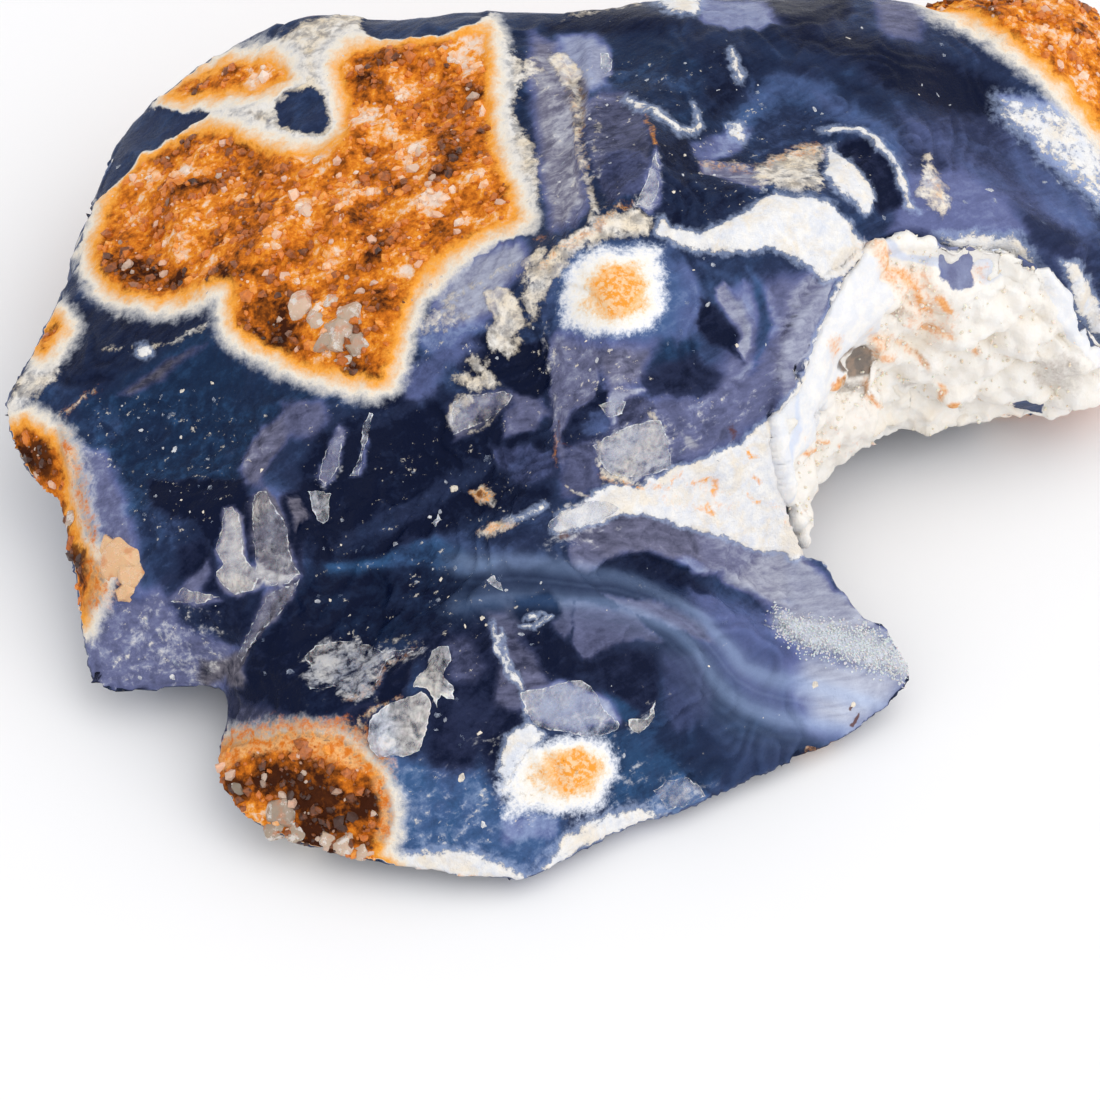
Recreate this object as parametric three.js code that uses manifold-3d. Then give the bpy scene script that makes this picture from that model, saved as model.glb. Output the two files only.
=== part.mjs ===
// A rough piece of banded blue agate, broken from a nodule, with a hollow in its front that is lined by a
// white crystal crust. Millimetres, +Z up. X runs along its length and Y from its front to its back. It lies
// on a flat base at Z = 0, and the origin is the middle of its plan on that base. Its upper and lower faces
// are two height fields over one outline, triangulated together, so that they close.
import * as THREE from "three";
import { mergeVertices } from "three/addons/utils/BufferGeometryUtils.js";
import Module from "manifold-3d";

// Driving dimensions
const RIM_STEP = 1.8; // between the outline's vertices
const TOP_STEP = 1.75; // between the upper face's vertices
const BASE_STEP = 3.6; // between the lower face's vertices
const BREAK_STEP = 1.5; // between the vertices along a crest or a ledge
const LEDGE_WIDTH = 0.8; // across the steep face of a ledge
const BASE_INSET = 13; // from the outline in to the flat base, at most
const UNDULATION = 0.3; // the fracture faces' own slow waviness
const RIND_RELIEF = 0.9; // lumps and pits of the weathered rind
const RIND_LUMP = 3.1; // from one lump of the rind to the next
const RIND_MARGIN = 2; // over which the rind's relief fades out at its outline
const CRUST_THICKNESS = 1.9; // of the crystal crust on the hollow's wall
const CRUST_RELIEF = 1.1; // its lumps stand this far in and out of that
const CRUST_LUMP = 3.4; // from one of its lumps to the next
const CRUST_STEP = 1.5; // between its vertices
const CRUST_END = 0.25; // how far up the wall it still reaches at its right end, as a share
const CRUST_GAP = 0.3; // left between the crust and the stone
const WALL_LENGTH = 40; // of the hollow's wall, round its curve
const WALL_HEIGHT = 20; // and up it

// The outline, seen from above: x, y, the edge's height, and how far in from it the upper face is reached.
const OUTLINE = [
  [-56.7, -1.8, 12, 3.5],
  [-56, -4.8, 10.5, 3.5],
  [-54, -8.1, 9, 4],
  [-51.2, -10.4, 8, 4],
  [-50.1, -15.7, 7, 4.5],
  [-49, -20.2, 6, 5],
  [-48.1, -25.2, 5, 5],
  [-47.2, -29, 4, 3],
  [-41.8, -29.2, 4, 3],
  [-35.8, -29.2, 4.5, 3],
  [-34.8, -32.5, 5, 4],
  [-35.4, -38.1, 5, 4],
  [-33.8, -42, 4, 4],
  [-29.5, -45, 3.5, 4],
  [-23.8, -46.7, 3, 4],
  [-19, -47.6, 2.6, 3],
  [-13, -48.3, 2.2, 3],
  [-7.9, -48.3, 1.8, 2.5],
  [-5.1, -46.5, 1.6, 2.5],
  [0.2, -43, 1.5, 2.5],
  [6.4, -40.5, 1.4, 2.5],
  [10.4, -38.2, 1.4, 2.5],
  [16.3, -35.2, 1.4, 3],
  [20.9, -32.4, 1.6, 3],
  [24.5, -29.9, 2, 3],
  [27.1, -27, 3.2, 2.5],
  [26.1, -24.3, 4, 2.5],
  [22.8, -21.5, 4.5, 3],
  [20.4, -18, 4.5, 3],
  [17, -14.8, 4.5, 2.5],
  [15.8, -9.4, 4.5, 2.2],
  [18.8, -4.2, 4.5, 2.2],
  [22.4, -0.8, 4, 2.5],
  [25.8, 1.8, 4, 2.5],
  [31.4, 2.6, 4, 2.5],
  [36.8, 3.6, 4, 2.5],
  [42, 4.2, 4.5, 2.8],
  [46.6, 5.4, 5.5, 3.5],
  [51.2, 8.6, 6.5, 5],
  [55, 14, 8, 6],
  [57.5, 22, 9, 7],
  [57, 31, 10, 8],
  [54, 39, 10, 9],
  [48, 45, 9.5, 9],
  [40, 48.2, 9, 9],
  [30, 49.4, 9, 9],
  [18, 47.5, 8.5, 9],
  [6, 45.8, 8, 9],
  [-6, 45.6, 8.5, 9],
  [-18, 46.6, 9, 8],
  [-29.5, 46, 9.5, 7],
  [-38, 42.5, 10, 6],
  [-45.5, 37, 10.5, 5],
  [-50, 30, 11, 5],
  [-51.8, 21.5, 11.5, 4],
  [-52.5, 13, 12, 4],
  [-54, 7, 12.5, 3.5],
  [-55.6, 2.5, 12.5, 3.5],
];

// Heights that the broken upper face passes through: x, y, z.
const UPPER_FACE = [
  // back shoulder, which falls away behind
  [-20, 42, 20],
  [-2, 42, 22],
  [16, 44, 22],
  [34, 46, 19],
  [48, 42, 17],
  [54, 28, 18],
  [-27, 37, 25],
  [-15.5, 33, 29],
  [-5, 30, 31],
  [8, 32.5, 31],
  [22.5, 35, 29],
  [37.5, 38, 25],
  // upper body
  [-43, 31, 19],
  [-34.5, 25.5, 23.5],
  [-24.5, 23, 27],
  [-12.5, 21, 30.5],
  [-1.5, 17, 33],
  [9.5, 16.5, 33.5],
  [21.5, 19.5, 31.5],
  [32, 22.5, 29],
  [42, 24, 25],
  // crest
  [-47.5, 21.5, 17],
  [-38.5, 15, 22],
  [-27, 10.5, 26.5],
  [-17, 7.5, 29.5],
  [-8.5, 3.5, 32],
  [0, 0.5, 35],
  [9, 0.5, 34],
  [19, 6, 32],
  [31, 8, 28.5],
  [44, 12.5, 23],
  // in front of the crest
  [-50.5, 7, 15.5],
  [-45, 6, 18],
  [-36, 1.5, 22.5],
  [-25.5, -4.5, 25],
  [-15, -4, 28.5],
  [-5, -8.5, 33],
  [2, -8, 32.5],
  [11, -6, 30.5],
  [19.5, -2, 29],
  [16.5, -7, 27],
  [12.5, -11, 26],
  // middle
  [-53, -3, 14],
  [-44, -5.5, 17],
  [-34.5, -9, 20.5],
  [-25.5, -10.5, 22.5],
  [-16.5, -12.5, 24.5],
  [-7.5, -15, 27],
  [-1.5, -16.5, 29],
  [7, -14.5, 26.5],
  // left block, valley and the slope above the wing
  [-45.5, -12.5, 14],
  [-39, -17, 16],
  [-31.5, -18.5, 18],
  [-23.5, -19.5, 19],
  [-14.5, -21.5, 21.5],
  [-7, -21.5, 24],
  [-1.5, -21.5, 21.5],
  [6.5, -18.5, 18.5],
  [14, -17.5, 11.5],
  [-44.5, -24, 10.5],
  [-37, -25, 12],
  [-29, -25.5, 15.5],
  [-22.5, -27.5, 15],
  [-14.5, -29.5, 17.5],
  [-5, -29.5, 19],
  [2.5, -28.5, 16],
  [11.5, -27.5, 12],
  [20.5, -27.5, 8],
  // lobe and front
  [-43.5, -28, 6],
  [-32.5, -32.5, 10],
  [-27.5, -36.5, 12],
  [-19, -37.5, 13.5],
  [-10.5, -38, 14],
  [-1.5, -36.5, 12.5],
  [7, -34.5, 9.5],
  [16, -31, 5.5],
  [-33, -39, 7],
  [-25, -41, 10],
  [-17, -43.5, 8.5],
  [-10.5, -43.5, 8.5],
  [-1.5, -40.5, 7.5],
  [4.5, -38.5, 5],
  // right
  [35, 6.5, 27],
  [42.5, 4, 23],
];

// Shell-shaped breaks sunk into the upper face: the middle, half the length, half the width, the depth,
// and the length's turn from X in degrees.
const SCOOPS = [
  { at: [-37, -10], long: 12, short: 8, depth: 1.6, turn: -20 }, // face of the left block
  { at: [-14, -17.5], long: 15, short: 5.5, depth: 1.8, turn: 32 }, // valley beside the crest
  { at: [-22.5, -31], long: 9, short: 6, depth: 1.4, turn: 60 }, // flank of the lobe
  { at: [-8, -30.5], long: 7.5, short: 5.5, depth: 1.3, turn: 10 },
  { at: [5.5, -11.5], long: 10, short: 9, depth: 2.2, turn: 25 }, // bowl behind the white edge
  { at: [3.5, -31.5], long: 9, short: 6.5, depth: 1.3, turn: -15 }, // root of the wing
  { at: [14, 13.5], long: 13, short: 9, depth: 2, turn: 20 }, // top
  { at: [36, 19], long: 12, short: 8.5, depth: 1.6, turn: -35 },
  { at: [-1, 24], long: 7, short: 9, depth: 1.2, turn: 0 },
  { at: [-45, -24.5], long: 7, short: 5, depth: 1, turn: 70 },
];

// Steps across the upper face. The ground on the left of each path stands higher by the rise, or lower
// where the rise is less than 0, and comes back to the face over the reach.
const LEDGES = [
  { path: [[17, -6.5], [10.5, -14], [3, -19], [-3.5, -22], [-6.5, -24]], rise: -1.6, reach: 5 },
  { path: [[-5.5, -20.5], [-5.8, -16], [-6.5, -10], [-8.5, -4.5]], rise: -1.5, reach: 4 }, // dark cleft
  { path: [[15.5, -22.5], [11, -23.4], [6.5, -23.8], [2.4, -24.2], [-2.5, -26.8]], rise: -1.1, reach: 5 },
  { path: [[-3.5, 30], [-2.8, 20], [-3.3, 10], [-3, 2.5]], rise: 1.3, reach: 4 }, // back cleft
  { path: [[18.3, 13.1], [21.2, 14], [24.3, 12.1], [25.9, 9.7], [26, 6.7]], rise: 0.9, reach: 4 },
  { path: [[-23, -22], [-20, -25.5], [-20, -29.5], [-22.5, -34]], rise: 0.9, reach: 3.5 },
  { path: [[-30, -10.5], [-26, -14], [-24, -18.5]], rise: 1, reach: 4 },
];

// Sharp crests between breaks: the height above the face, falling off over the spread.
const CRESTS = [
  { path: [[3.3, 14.4], [3.5, 8.9], [2.9, 3.9], [-0.5, 0.5], [-4.2, -1.8], [-7.5, -3.5]], rise: 1.6, spread: 1.6 },
  { path: [[5, -1.5], [10.8, -1.2], [15.4, 2.5], [19.1, 4.4], [22.5, 4]], rise: 1.3, spread: 1.8 },
  { path: [[-31.5, -17], [-30.3, -19.2], [-28.9, -22.2], [-28.5, -25.3], [-31.6, -27.7]], rise: 1.7, spread: 1.5 },
  { path: [[-11.2, -32], [-9.9, -35], [-9, -37], [-10.3, -40.5]], rise: 1.1, spread: 1.2 },
  { path: [[-7, -37], [-3.8, -35.7], [-0.1, -37.5]], rise: 0.8, spread: 1.2 },
];

// Weathered skin of the nodule, left where nothing broke off: outlines seen from above.
const RINDS = [
  [
    [-49, 19], [-43, 25.5], [-34, 22], [-28.5, 23.5], [-25.5, 29], [-15.5, 29.5], [-12, 28], [-11, 21.5],
    [-8.5, 7.5], [-8.5, 3], [-13, 0], [-18, -4], [-20.5, -10], [-28.5, -8], [-35.5, -1.5], [-41, 3], [-48.5, 10],
  ],
  [[-43, 35], [-33, 34], [-31, 28.5], [-36.5, 28.5]],
  [[-52, 36], [-44, 37.5], [-32, 40], [-16, 41.5], [4, 41], [22, 43], [30, 51], [-10, 50], [-34, 48]],
  [[-57, -1], [-52, -3.5], [-50, -11], [-46.5, -19], [-47, -25], [-50, -22], [-53, -10]],
  [[-36, -38], [-29.5, -38], [-22, -41], [-19, -46], [-22, -49], [-32, -46]],
  [[28, 38], [37.5, 28.5], [45.5, 17.5], [52, 9], [60, 20], [58, 42], [40, 52], [24, 50]],
];

// Knots of rind that a break cut through: the middle of each, half its width and its height.
const KNOTS = [
  { at: [0, -7.5], half: 5, rise: 0.9 },
  { at: [-4, -41], half: 4.5, rise: 0.8 },
];

// The hollow's wall runs between these two places of the outline. A pit in its crust is given by how far
// along the wall and up it the pit lies, as shares, and by its half width.
const WALL_START = [16.8, -13.8];
const WALL_END = [50, 7.6];
const CRUST_PITS = [
  { along: 0.33, up: 0.55, half: 1.6, depth: 1.6 },
  { along: 0.58, up: 0.42, half: 1.3, depth: 1.2 },
  { along: 0.76, up: 0.6, half: 1.2, depth: 1 },
];

// The sum of thin-plate springs through the given heights: a smooth face through every one of them.
function faceThrough(heights) {
  const n = heights.length;
  const spring = (dx, dy) => {
    const r2 = dx * dx + dy * dy;
    return r2 === 0 ? 0 : r2 * Math.log(r2);
  };
  const rows = heights.map(([x, y, z]) => [
    ...heights.map(([u, v]) => spring(x - u, y - v)), 1, x, y, z,
  ]);
  for (const term of [() => 1, (h) => h[0], (h) => h[1]])
    rows.push([...heights.map(term), 0, 0, 0, 0]);
  const weights = solve(rows);
  return (x, y) => {
    let z = weights[n] + weights[n + 1] * x + weights[n + 2] * y;
    for (let i = 0; i < n; i++) z += weights[i] * spring(x - heights[i][0], y - heights[i][1]);
    return z;
  };
}

// Gaussian elimination with pivoting; each row ends with its right-hand side.
function solve(rows) {
  const n = rows.length;
  for (let c = 0; c < n; c++) {
    let pivot = c;
    for (let r = c + 1; r < n; r++) if (Math.abs(rows[r][c]) > Math.abs(rows[pivot][c])) pivot = r;
    [rows[c], rows[pivot]] = [rows[pivot], rows[c]];
    for (let r = 0; r < n; r++) {
      if (r === c) continue;
      const share = rows[r][c] / rows[c][c];
      if (share !== 0) for (let k = c; k <= n; k++) rows[r][k] -= share * rows[c][k];
    }
  }
  return rows.map((row, i) => row[n] / row[i]);
}

// A repeatable number from 0 to 1 for a whole-numbered place.
function scatter(i, j, kind = 0) {
  const s = Math.sin(i * 127.1 + j * 311.7 + kind * 74.7) * 43758.5453;
  return s - Math.floor(s);
}

// Smooth lumps from -1 to 1, about one unit across.
function lumps(x, y, kind = 0) {
  const i = Math.floor(x), j = Math.floor(y);
  const ease = (t) => t * t * (3 - 2 * t);
  const u = ease(x - i), v = ease(y - j);
  const mix = THREE.MathUtils.lerp;
  const low = mix(scatter(i, j, kind), scatter(i + 1, j, kind), u);
  const high = mix(scatter(i, j + 1, kind), scatter(i + 1, j + 1, kind), u);
  return 2 * mix(low, high, v) - 1;
}

// The outline as evenly spaced places, each with its edge's height and reach.
function rimPlaces() {
  const corners = OUTLINE.map(([x, y, z]) => new THREE.Vector3(x, y, z));
  const curve = new THREE.CatmullRomCurve3(corners, true, "centripetal");
  const count = Math.round(curve.getLength() / RIM_STEP);
  return Array.from({ length: count }, (_, k) => {
    const t = curve.getUtoTmapping(k / count);
    const { x, y, z } = curve.getPoint(t);
    const i = Math.floor(t * OUTLINE.length) % OUTLINE.length;
    const next = OUTLINE[(i + 1) % OUTLINE.length];
    const reach = THREE.MathUtils.lerp(OUTLINE[i][3], next[3], (t * OUTLINE.length) % 1);
    return { x, y, z, reach };
  });
}

// How near a place is to the rim: the distance, and the rim's height and reach there.
function nearestRim(rim, x, y) {
  let best = { distance: Infinity };
  rim.forEach((a, i) => {
    const b = rim[(i + 1) % rim.length];
    const dx = b.x - a.x, dy = b.y - a.y;
    const along = THREE.MathUtils.clamp(((x - a.x) * dx + (y - a.y) * dy) / (dx * dx + dy * dy), 0, 1);
    const distance = Math.hypot(x - a.x - along * dx, y - a.y - along * dy);
    if (distance < best.distance)
      best = {
        distance,
        z: THREE.MathUtils.lerp(a.z, b.z, along),
        reach: THREE.MathUtils.lerp(a.reach, b.reach, along),
      };
  });
  return best;
}

function insideOutline(places, x, y) {
  let inside = false;
  places.forEach((a, i) => {
    const b = places[(i + places.length - 1) % places.length];
    if (a.y > y !== b.y > y && x < ((b.x - a.x) * (y - a.y)) / (b.y - a.y) + a.x) inside = !inside;
  });
  return inside;
}

// Delaunay's triangulation of places in plan, by adding one place at a time.
function triangulate(places) {
  const far = 1e4;
  const all = [...places, { x: -far, y: -far }, { x: far, y: -far }, { x: 0, y: far }];
  const circled = (a, b, c) => {
    const [p, q, r] = [all[a], all[b], all[c]];
    const ax = q.x - p.x, ay = q.y - p.y, bx = r.x - p.x, by = r.y - p.y;
    const twice = 2 * (ax * by - ay * bx);
    const x = (by * (ax * ax + ay * ay) - ay * (bx * bx + by * by)) / twice;
    const y = (ax * (bx * bx + by * by) - bx * (ax * ax + ay * ay)) / twice;
    return { corners: [a, b, c], x: p.x + x, y: p.y + y, square: x * x + y * y };
  };
  const first = places.length;
  let triangles = [circled(first, first + 1, first + 2)];
  places.forEach((p, i) => {
    const edges = new Map();
    triangles = triangles.filter((t) => {
      if ((p.x - t.x) ** 2 + (p.y - t.y) ** 2 >= t.square) return true;
      t.corners.forEach((a, k) => {
        const b = t.corners[(k + 1) % 3];
        const key = Math.min(a, b) + "," + Math.max(a, b);
        if (!edges.delete(key)) edges.set(key, [a, b]);
      });
      return false;
    });
    for (const [a, b] of edges.values()) triangles.push(circled(a, b, i));
  });
  return triangles.map((t) => t.corners).filter((corners) => corners.every((c) => c < first));
}

// Places every so often along a path, each moved to its left by a given distance.
function placesAlong(path, aside = 0) {
  const places = [];
  for (let i = 0; i + 1 < path.length; i++) {
    const [ax, ay] = path[i], [bx, by] = path[i + 1];
    const length = Math.hypot(bx - ax, by - ay);
    const count = Math.max(1, Math.round(length / BREAK_STEP));
    for (let k = 0; k < count; k++) {
      const x = ax + ((bx - ax) * (k + 0.5)) / count, y = ay + ((by - ay) * (k + 0.5)) / count;
      places.push({ x: x - (aside * (by - ay)) / length, y: y + (aside * (bx - ax)) / length });
    }
  }
  return places;
}

// The rim's places, the given ones, then a staggered lattice of places between them.
function netOf(rim, step, given = []) {
  const inStone = (x, y) => insideOutline(rim, x, y) && nearestRim(rim, x, y).distance > 0.7 * step;
  const breaks = [];
  for (const { x, y } of given)
    if (inStone(x, y) && !breaks.some((p) => Math.hypot(p.x - x, p.y - y) < BREAK_STEP / 3)) breaks.push({ x, y });
  const places = [...rim.map(({ x, y }) => ({ x, y })), ...breaks];
  const low = Math.min(...rim.map((p) => p.y)), high = Math.max(...rim.map((p) => p.y));
  const left = Math.min(...rim.map((p) => p.x)), right = Math.max(...rim.map((p) => p.x));
  const row = (step * Math.sqrt(3)) / 2;
  const spread = 0.25 * step;
  for (let j = 0; low + j * row < high; j++)
    for (let i = 0; left + i * step < right; i++) {
      const x = left + (i + (j % 2) / 2) * step + spread * (scatter(i, j, 1) - 0.5);
      const y = low + j * row + spread * (scatter(i, j, 2) - 0.5);
      const free = breaks.every((p) => Math.hypot(p.x - x, p.y - y) > 0.65 * step);
      if (free && inStone(x, y)) places.push({ x, y });
    }
  const triangles = triangulate(places).filter((corners) => {
    const [x, y] = ["x", "y"].map((axis) => corners.reduce((sum, c) => sum + places[c][axis], 0) / 3);
    return insideOutline(rim, x, y);
  });
  return { places, triangles };
}

const rim = rimPlaces();
const brokenFace = faceThrough(UPPER_FACE);

// The nearest stretch of a path to a place: the distance, the same with a sign that is more than 0 on the
// path's left, and the path's hold there, which goes from 1 to 0 towards its ends.
function acrossPath(path, x, y) {
  let best = { distance: Infinity };
  for (let i = 0; i + 1 < path.length; i++) {
    const [ax, ay] = path[i], [bx, by] = path[i + 1];
    const dx = bx - ax, dy = by - ay;
    const along = THREE.MathUtils.clamp(((x - ax) * dx + (y - ay) * dy) / (dx * dx + dy * dy), 0, 1);
    const px = x - ax - along * dx, py = y - ay - along * dy;
    const distance = Math.hypot(px, py);
    if (distance >= best.distance) continue;
    const share = (i + along) / (path.length - 1);
    const hold = Math.min(1, 5 * share, 5 * (1 - share));
    best = { distance, across: distance * Math.sign(dx * py - dy * px), hold };
  }
  return best;
}

// A scoop's own face: the broken face's slope at its middle, sunk by its depth and curving up to its edge.
function scoopFace({ at: [cx, cy], long, short, depth, turn }) {
  const slopeX = (brokenFace(cx + 1, cy) - brokenFace(cx - 1, cy)) / 2;
  const slopeY = (brokenFace(cx, cy + 1) - brokenFace(cx, cy - 1)) / 2;
  const middle = brokenFace(cx, cy);
  const angle = THREE.MathUtils.degToRad(turn);
  return (x, y) => {
    const u = ((x - cx) * Math.cos(angle) + (y - cy) * Math.sin(angle)) / long;
    const v = ((y - cy) * Math.cos(angle) - (x - cx) * Math.sin(angle)) / short;
    return middle + slopeX * (x - cx) + slopeY * (y - cy) - depth * (1 - u * u - v * v);
  };
}

const scoopFaces = SCOOPS.map(scoopFace);

// How far inside a rind outline a place is, as a share from 0 to 1 over the rind's margin.
function rindShare(x, y) {
  const shares = RINDS.map((outline) => {
    const places = outline.map(([px, py]) => ({ x: px, y: py }));
    if (!insideOutline(places, x, y)) return 0;
    return Math.min(1, acrossPath([...outline, outline[0]], x, y).distance / RIND_MARGIN);
  });
  return Math.max(...shares);
}

// The upper face's relief before its edges come down.
function reliefHeight(x, y) {
  let z = brokenFace(x, y);
  for (const face of scoopFaces) z = Math.min(z, face(x, y));
  for (const { path, rise, reach } of LEDGES) {
    const { across, hold } = acrossPath(path, x, y);
    const step = THREE.MathUtils.smoothstep(across, -LEDGE_WIDTH / 2, LEDGE_WIDTH / 2);
    z += rise * hold * step * Math.exp(-Math.max(across, 0) / reach);
  }
  for (const { path, rise, spread } of CRESTS) {
    const { distance, hold } = acrossPath(path, x, y);
    z += rise * hold * Math.exp(-distance / spread);
  }
  for (const { at, half, rise } of KNOTS) {
    const t = Math.hypot(x - at[0], y - at[1]) / half;
    z += rise * Math.max(0, 1 - t * t);
  }
  const rind = rindShare(x, y);
  z += rind * RIND_RELIEF * (lumps(x / RIND_LUMP, y / RIND_LUMP, 6) - 0.3);
  return z + (1 - rind) * UNDULATION * (lumps(x / 6, y / 6, 3) + 0.5 * lumps(x / 2.9, y / 2.9, 4));
}

// The upper face: its relief, brought down to the rim over the edge's reach.
function upperHeight(x, y) {
  const edge = nearestRim(rim, x, y);
  const t = Math.min(edge.distance / edge.reach, 1);
  const inner = Math.max(reliefHeight(x, y), edge.z + 0.8);
  return THREE.MathUtils.lerp(edge.z, inner, Math.sqrt(1 - (1 - t) ** 2));
}

// The lower face: flat in the middle, and rising to the rim round it.
function lowerHeight(x, y) {
  const edge = nearestRim(rim, x, y);
  const inset = Math.min(BASE_INSET, 1.5 + 1.1 * edge.z);
  const t = Math.min(edge.distance / inset, 1);
  const knobs = 0.5 * lumps(x / 4.5, y / 4.5, 5) * Math.min(1, 4 * t * (1 - t));
  return Math.max(0, edge.z * (1 - t) ** 1.6 + (t < 1 ? knobs : 0));
}

// One closed skin: the upper face, and the lower one turned over, sharing the rim.
function stoneGeometry() {
  const breaks = [
    ...CRESTS.flatMap(({ path }) => placesAlong(path)),
    ...LEDGES.flatMap(({ path }) => placesAlong(path, LEDGE_WIDTH / 2)),
    ...LEDGES.flatMap(({ path }) => placesAlong(path, -LEDGE_WIDTH / 2)),
  ];
  const upper = netOf(rim, TOP_STEP, breaks), lower = netOf(rim, BASE_STEP);
  const shared = rim.length;
  const position = [];
  const index = [];
  rim.forEach((p) => position.push(p.x, p.y, p.z));
  upper.places.slice(shared).forEach((p) => position.push(p.x, p.y, upperHeight(p.x, p.y)));
  lower.places.slice(shared).forEach((p) => position.push(p.x, p.y, lowerHeight(p.x, p.y)));
  const below = upper.places.length - shared;
  upper.triangles.forEach(([a, b, c]) => index.push(a, b, c));
  lower.triangles.forEach((corners) => {
    const [a, b, c] = corners.map((k) => (k < shared ? k : k + below));
    index.push(a, c, b);
  });
  return new THREE.BufferGeometry()
    .setAttribute("position", new THREE.Float32BufferAttribute(position, 3))
    .setIndex(index);
}

const wasm = await Module();
wasm.setup();

// A closed geometry as a solid that can be cut, and back.
function solidOf(geometry) {
  const merged = mergeVertices(geometry, 1e-4);
  return new wasm.Manifold(
    new wasm.Mesh({
      numProp: 3,
      vertProperties: new Float32Array(merged.attributes.position.array),
      triVerts: new Uint32Array(merged.index.array),
    }),
  );
}

function geometryOf(solid) {
  const mesh = solid.getMesh();
  return new THREE.BufferGeometry()
    .setAttribute("position", new THREE.BufferAttribute(new Float32Array(mesh.vertProperties), 3))
    .setIndex(new THREE.BufferAttribute(new Uint32Array(mesh.triVerts), 1));
}

// The hollow's wall: places along the rim between its two ends, each with the direction into the stone,
// the rim's height and reach, and the height of the stone's upper face behind it.
function wallPlaces() {
  const nearest = ([x, y]) => {
    const gaps = rim.map((p) => Math.hypot(p.x - x, p.y - y));
    return gaps.indexOf(Math.min(...gaps));
  };
  const ends = rim.slice(nearest(WALL_START), nearest(WALL_END) + 1);
  const curve = new THREE.CatmullRomCurve3(ends.map((p) => new THREE.Vector3(p.x, p.y, 0)));
  const count = Math.round(curve.getLength() / CRUST_STEP);
  return Array.from({ length: count + 1 }, (_, k) => {
    const place = curve.getPointAt(k / count), ahead = curve.getTangentAt(k / count);
    const inward = new THREE.Vector3(-ahead.y, ahead.x, 0);
    const edge = nearestRim(rim, place.x, place.y);
    const behind = place.clone().addScaledVector(inward, edge.reach);
    return { place, inward, low: edge.z, reach: edge.reach, high: upperHeight(behind.x, behind.y) };
  });
}

// How thick the crust is at a share of the wall's length and height: lumpy, pitted, and thin at its edges.
function crustThickness(along, up, x, z) {
  const fade = Math.min(1, 9 * along, 9 * (1 - along), 0.25 + 3 * up, 0.1 + 5 * (1 - up));
  const u = x / CRUST_LUMP, v = z / CRUST_LUMP;
  const lump = 0.65 * lumps(u, v, 7) + 0.35 * lumps(2 * u, 2 * v, 8);
  let thickness = CRUST_THICKNESS + CRUST_RELIEF * lump;
  for (const pit of CRUST_PITS) {
    const off = Math.hypot((along - pit.along) * WALL_LENGTH, (up - pit.up) * WALL_HEIGHT) / pit.half;
    thickness -= pit.depth * Math.max(0, 1 - off * off);
  }
  return CRUST_GAP + 0.2 + fade * Math.max(thickness, 0.2);
}

// The crust: a sheet between its lumpy front and a back inside the stone, cut clear of the stone.
function crustGeometry(stoneGeometry) {
  const wall = wallPlaces();
  const across = wall.length, tall = Math.round(WALL_HEIGHT / CRUST_STEP) + 1;
  const position = [];
  for (const side of ["front", "back"])
    for (let j = 0; j < tall; j++)
      wall.forEach(({ place, inward, low, reach, high }, i) => {
        const up = j / (tall - 1), along = i / (across - 1);
        const top = THREE.MathUtils.lerp(0.96, CRUST_END, THREE.MathUtils.smoothstep(along, 0.7, 1));
        const share = THREE.MathUtils.lerp(0.03, top, up);
        const z = THREE.MathUtils.lerp(low, high, share);
        const face = reach * (1 - Math.sqrt(1 - share * share));
        const off = side === "front" ? -crustThickness(along, up, along * WALL_LENGTH, z) : 1.2;
        const spot = place.clone().addScaledVector(inward, face + off);
        position.push(spot.x, spot.y, z);
      });
  const back = across * tall;
  const index = [];
  const quad = (a, b, c, d) => index.push(a, b, c, a, c, d);
  for (let j = 0; j + 1 < tall; j++)
    for (let i = 0; i + 1 < across; i++) {
      const k = j * across + i;
      quad(k, k + 1, k + across + 1, k + across);
      quad(back + k, back + k + across, back + k + across + 1, back + k + 1);
    }
  for (let i = 0; i + 1 < across; i++) {
    const k = (tall - 1) * across + i;
    quad(i, back + i, back + i + 1, i + 1);
    quad(k, k + 1, back + k + 1, back + k);
  }
  for (let j = 0; j + 1 < tall; j++) {
    const k = j * across, m = k + across - 1;
    quad(k, k + across, back + k + across, back + k);
    quad(m, back + m, back + m + across, m + across);
  }
  const sheet = new THREE.BufferGeometry()
    .setAttribute("position", new THREE.Float32BufferAttribute(position, 3))
    .setIndex(index);
  const stone = solidOf(stoneGeometry);
  const cut = [[0, 0], [0, -CRUST_GAP], [CRUST_GAP, 0]].reduce(
    (left, [x, y]) => left.subtract(stone.translate([x, y, 0])), solidOf(sheet));
  const bodies = cut.decompose().sort((a, b) => b.volume() - a.volume());
  return geometryOf(bodies[0]);
}

const mineral = (color, roughness) =>
  new THREE.MeshStandardMaterial({ color, roughness, metalness: 0, flatShading: true });
const agate = mineral(0x3d4c78, 0.4);
const druse = mineral(0xe6dfd2, 0.6);

const stone = new THREE.Mesh(stoneGeometry(), agate);
stone.name = "agate_stone";

const crust = new THREE.Mesh(crustGeometry(stone.geometry), druse);
crust.name = "hollow_crust";

const group = new THREE.Group();
group.add(stone, crust);
const plan = new THREE.Box3().setFromObject(group).getCenter(new THREE.Vector3());
group.position.set(-plan.x, -plan.y, 0);

export default group;
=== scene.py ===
"""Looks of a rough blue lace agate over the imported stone: skin, rind, flakes, druse and a pale stage."""

import math
from collections import namedtuple
from itertools import combinations

import bmesh
import bpy
import numpy as np
from bpy.props import FloatProperty, FloatVectorProperty, IntProperty, PointerProperty
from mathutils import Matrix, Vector, geometry
from mathutils.bvhtree import BVHTree


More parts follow.
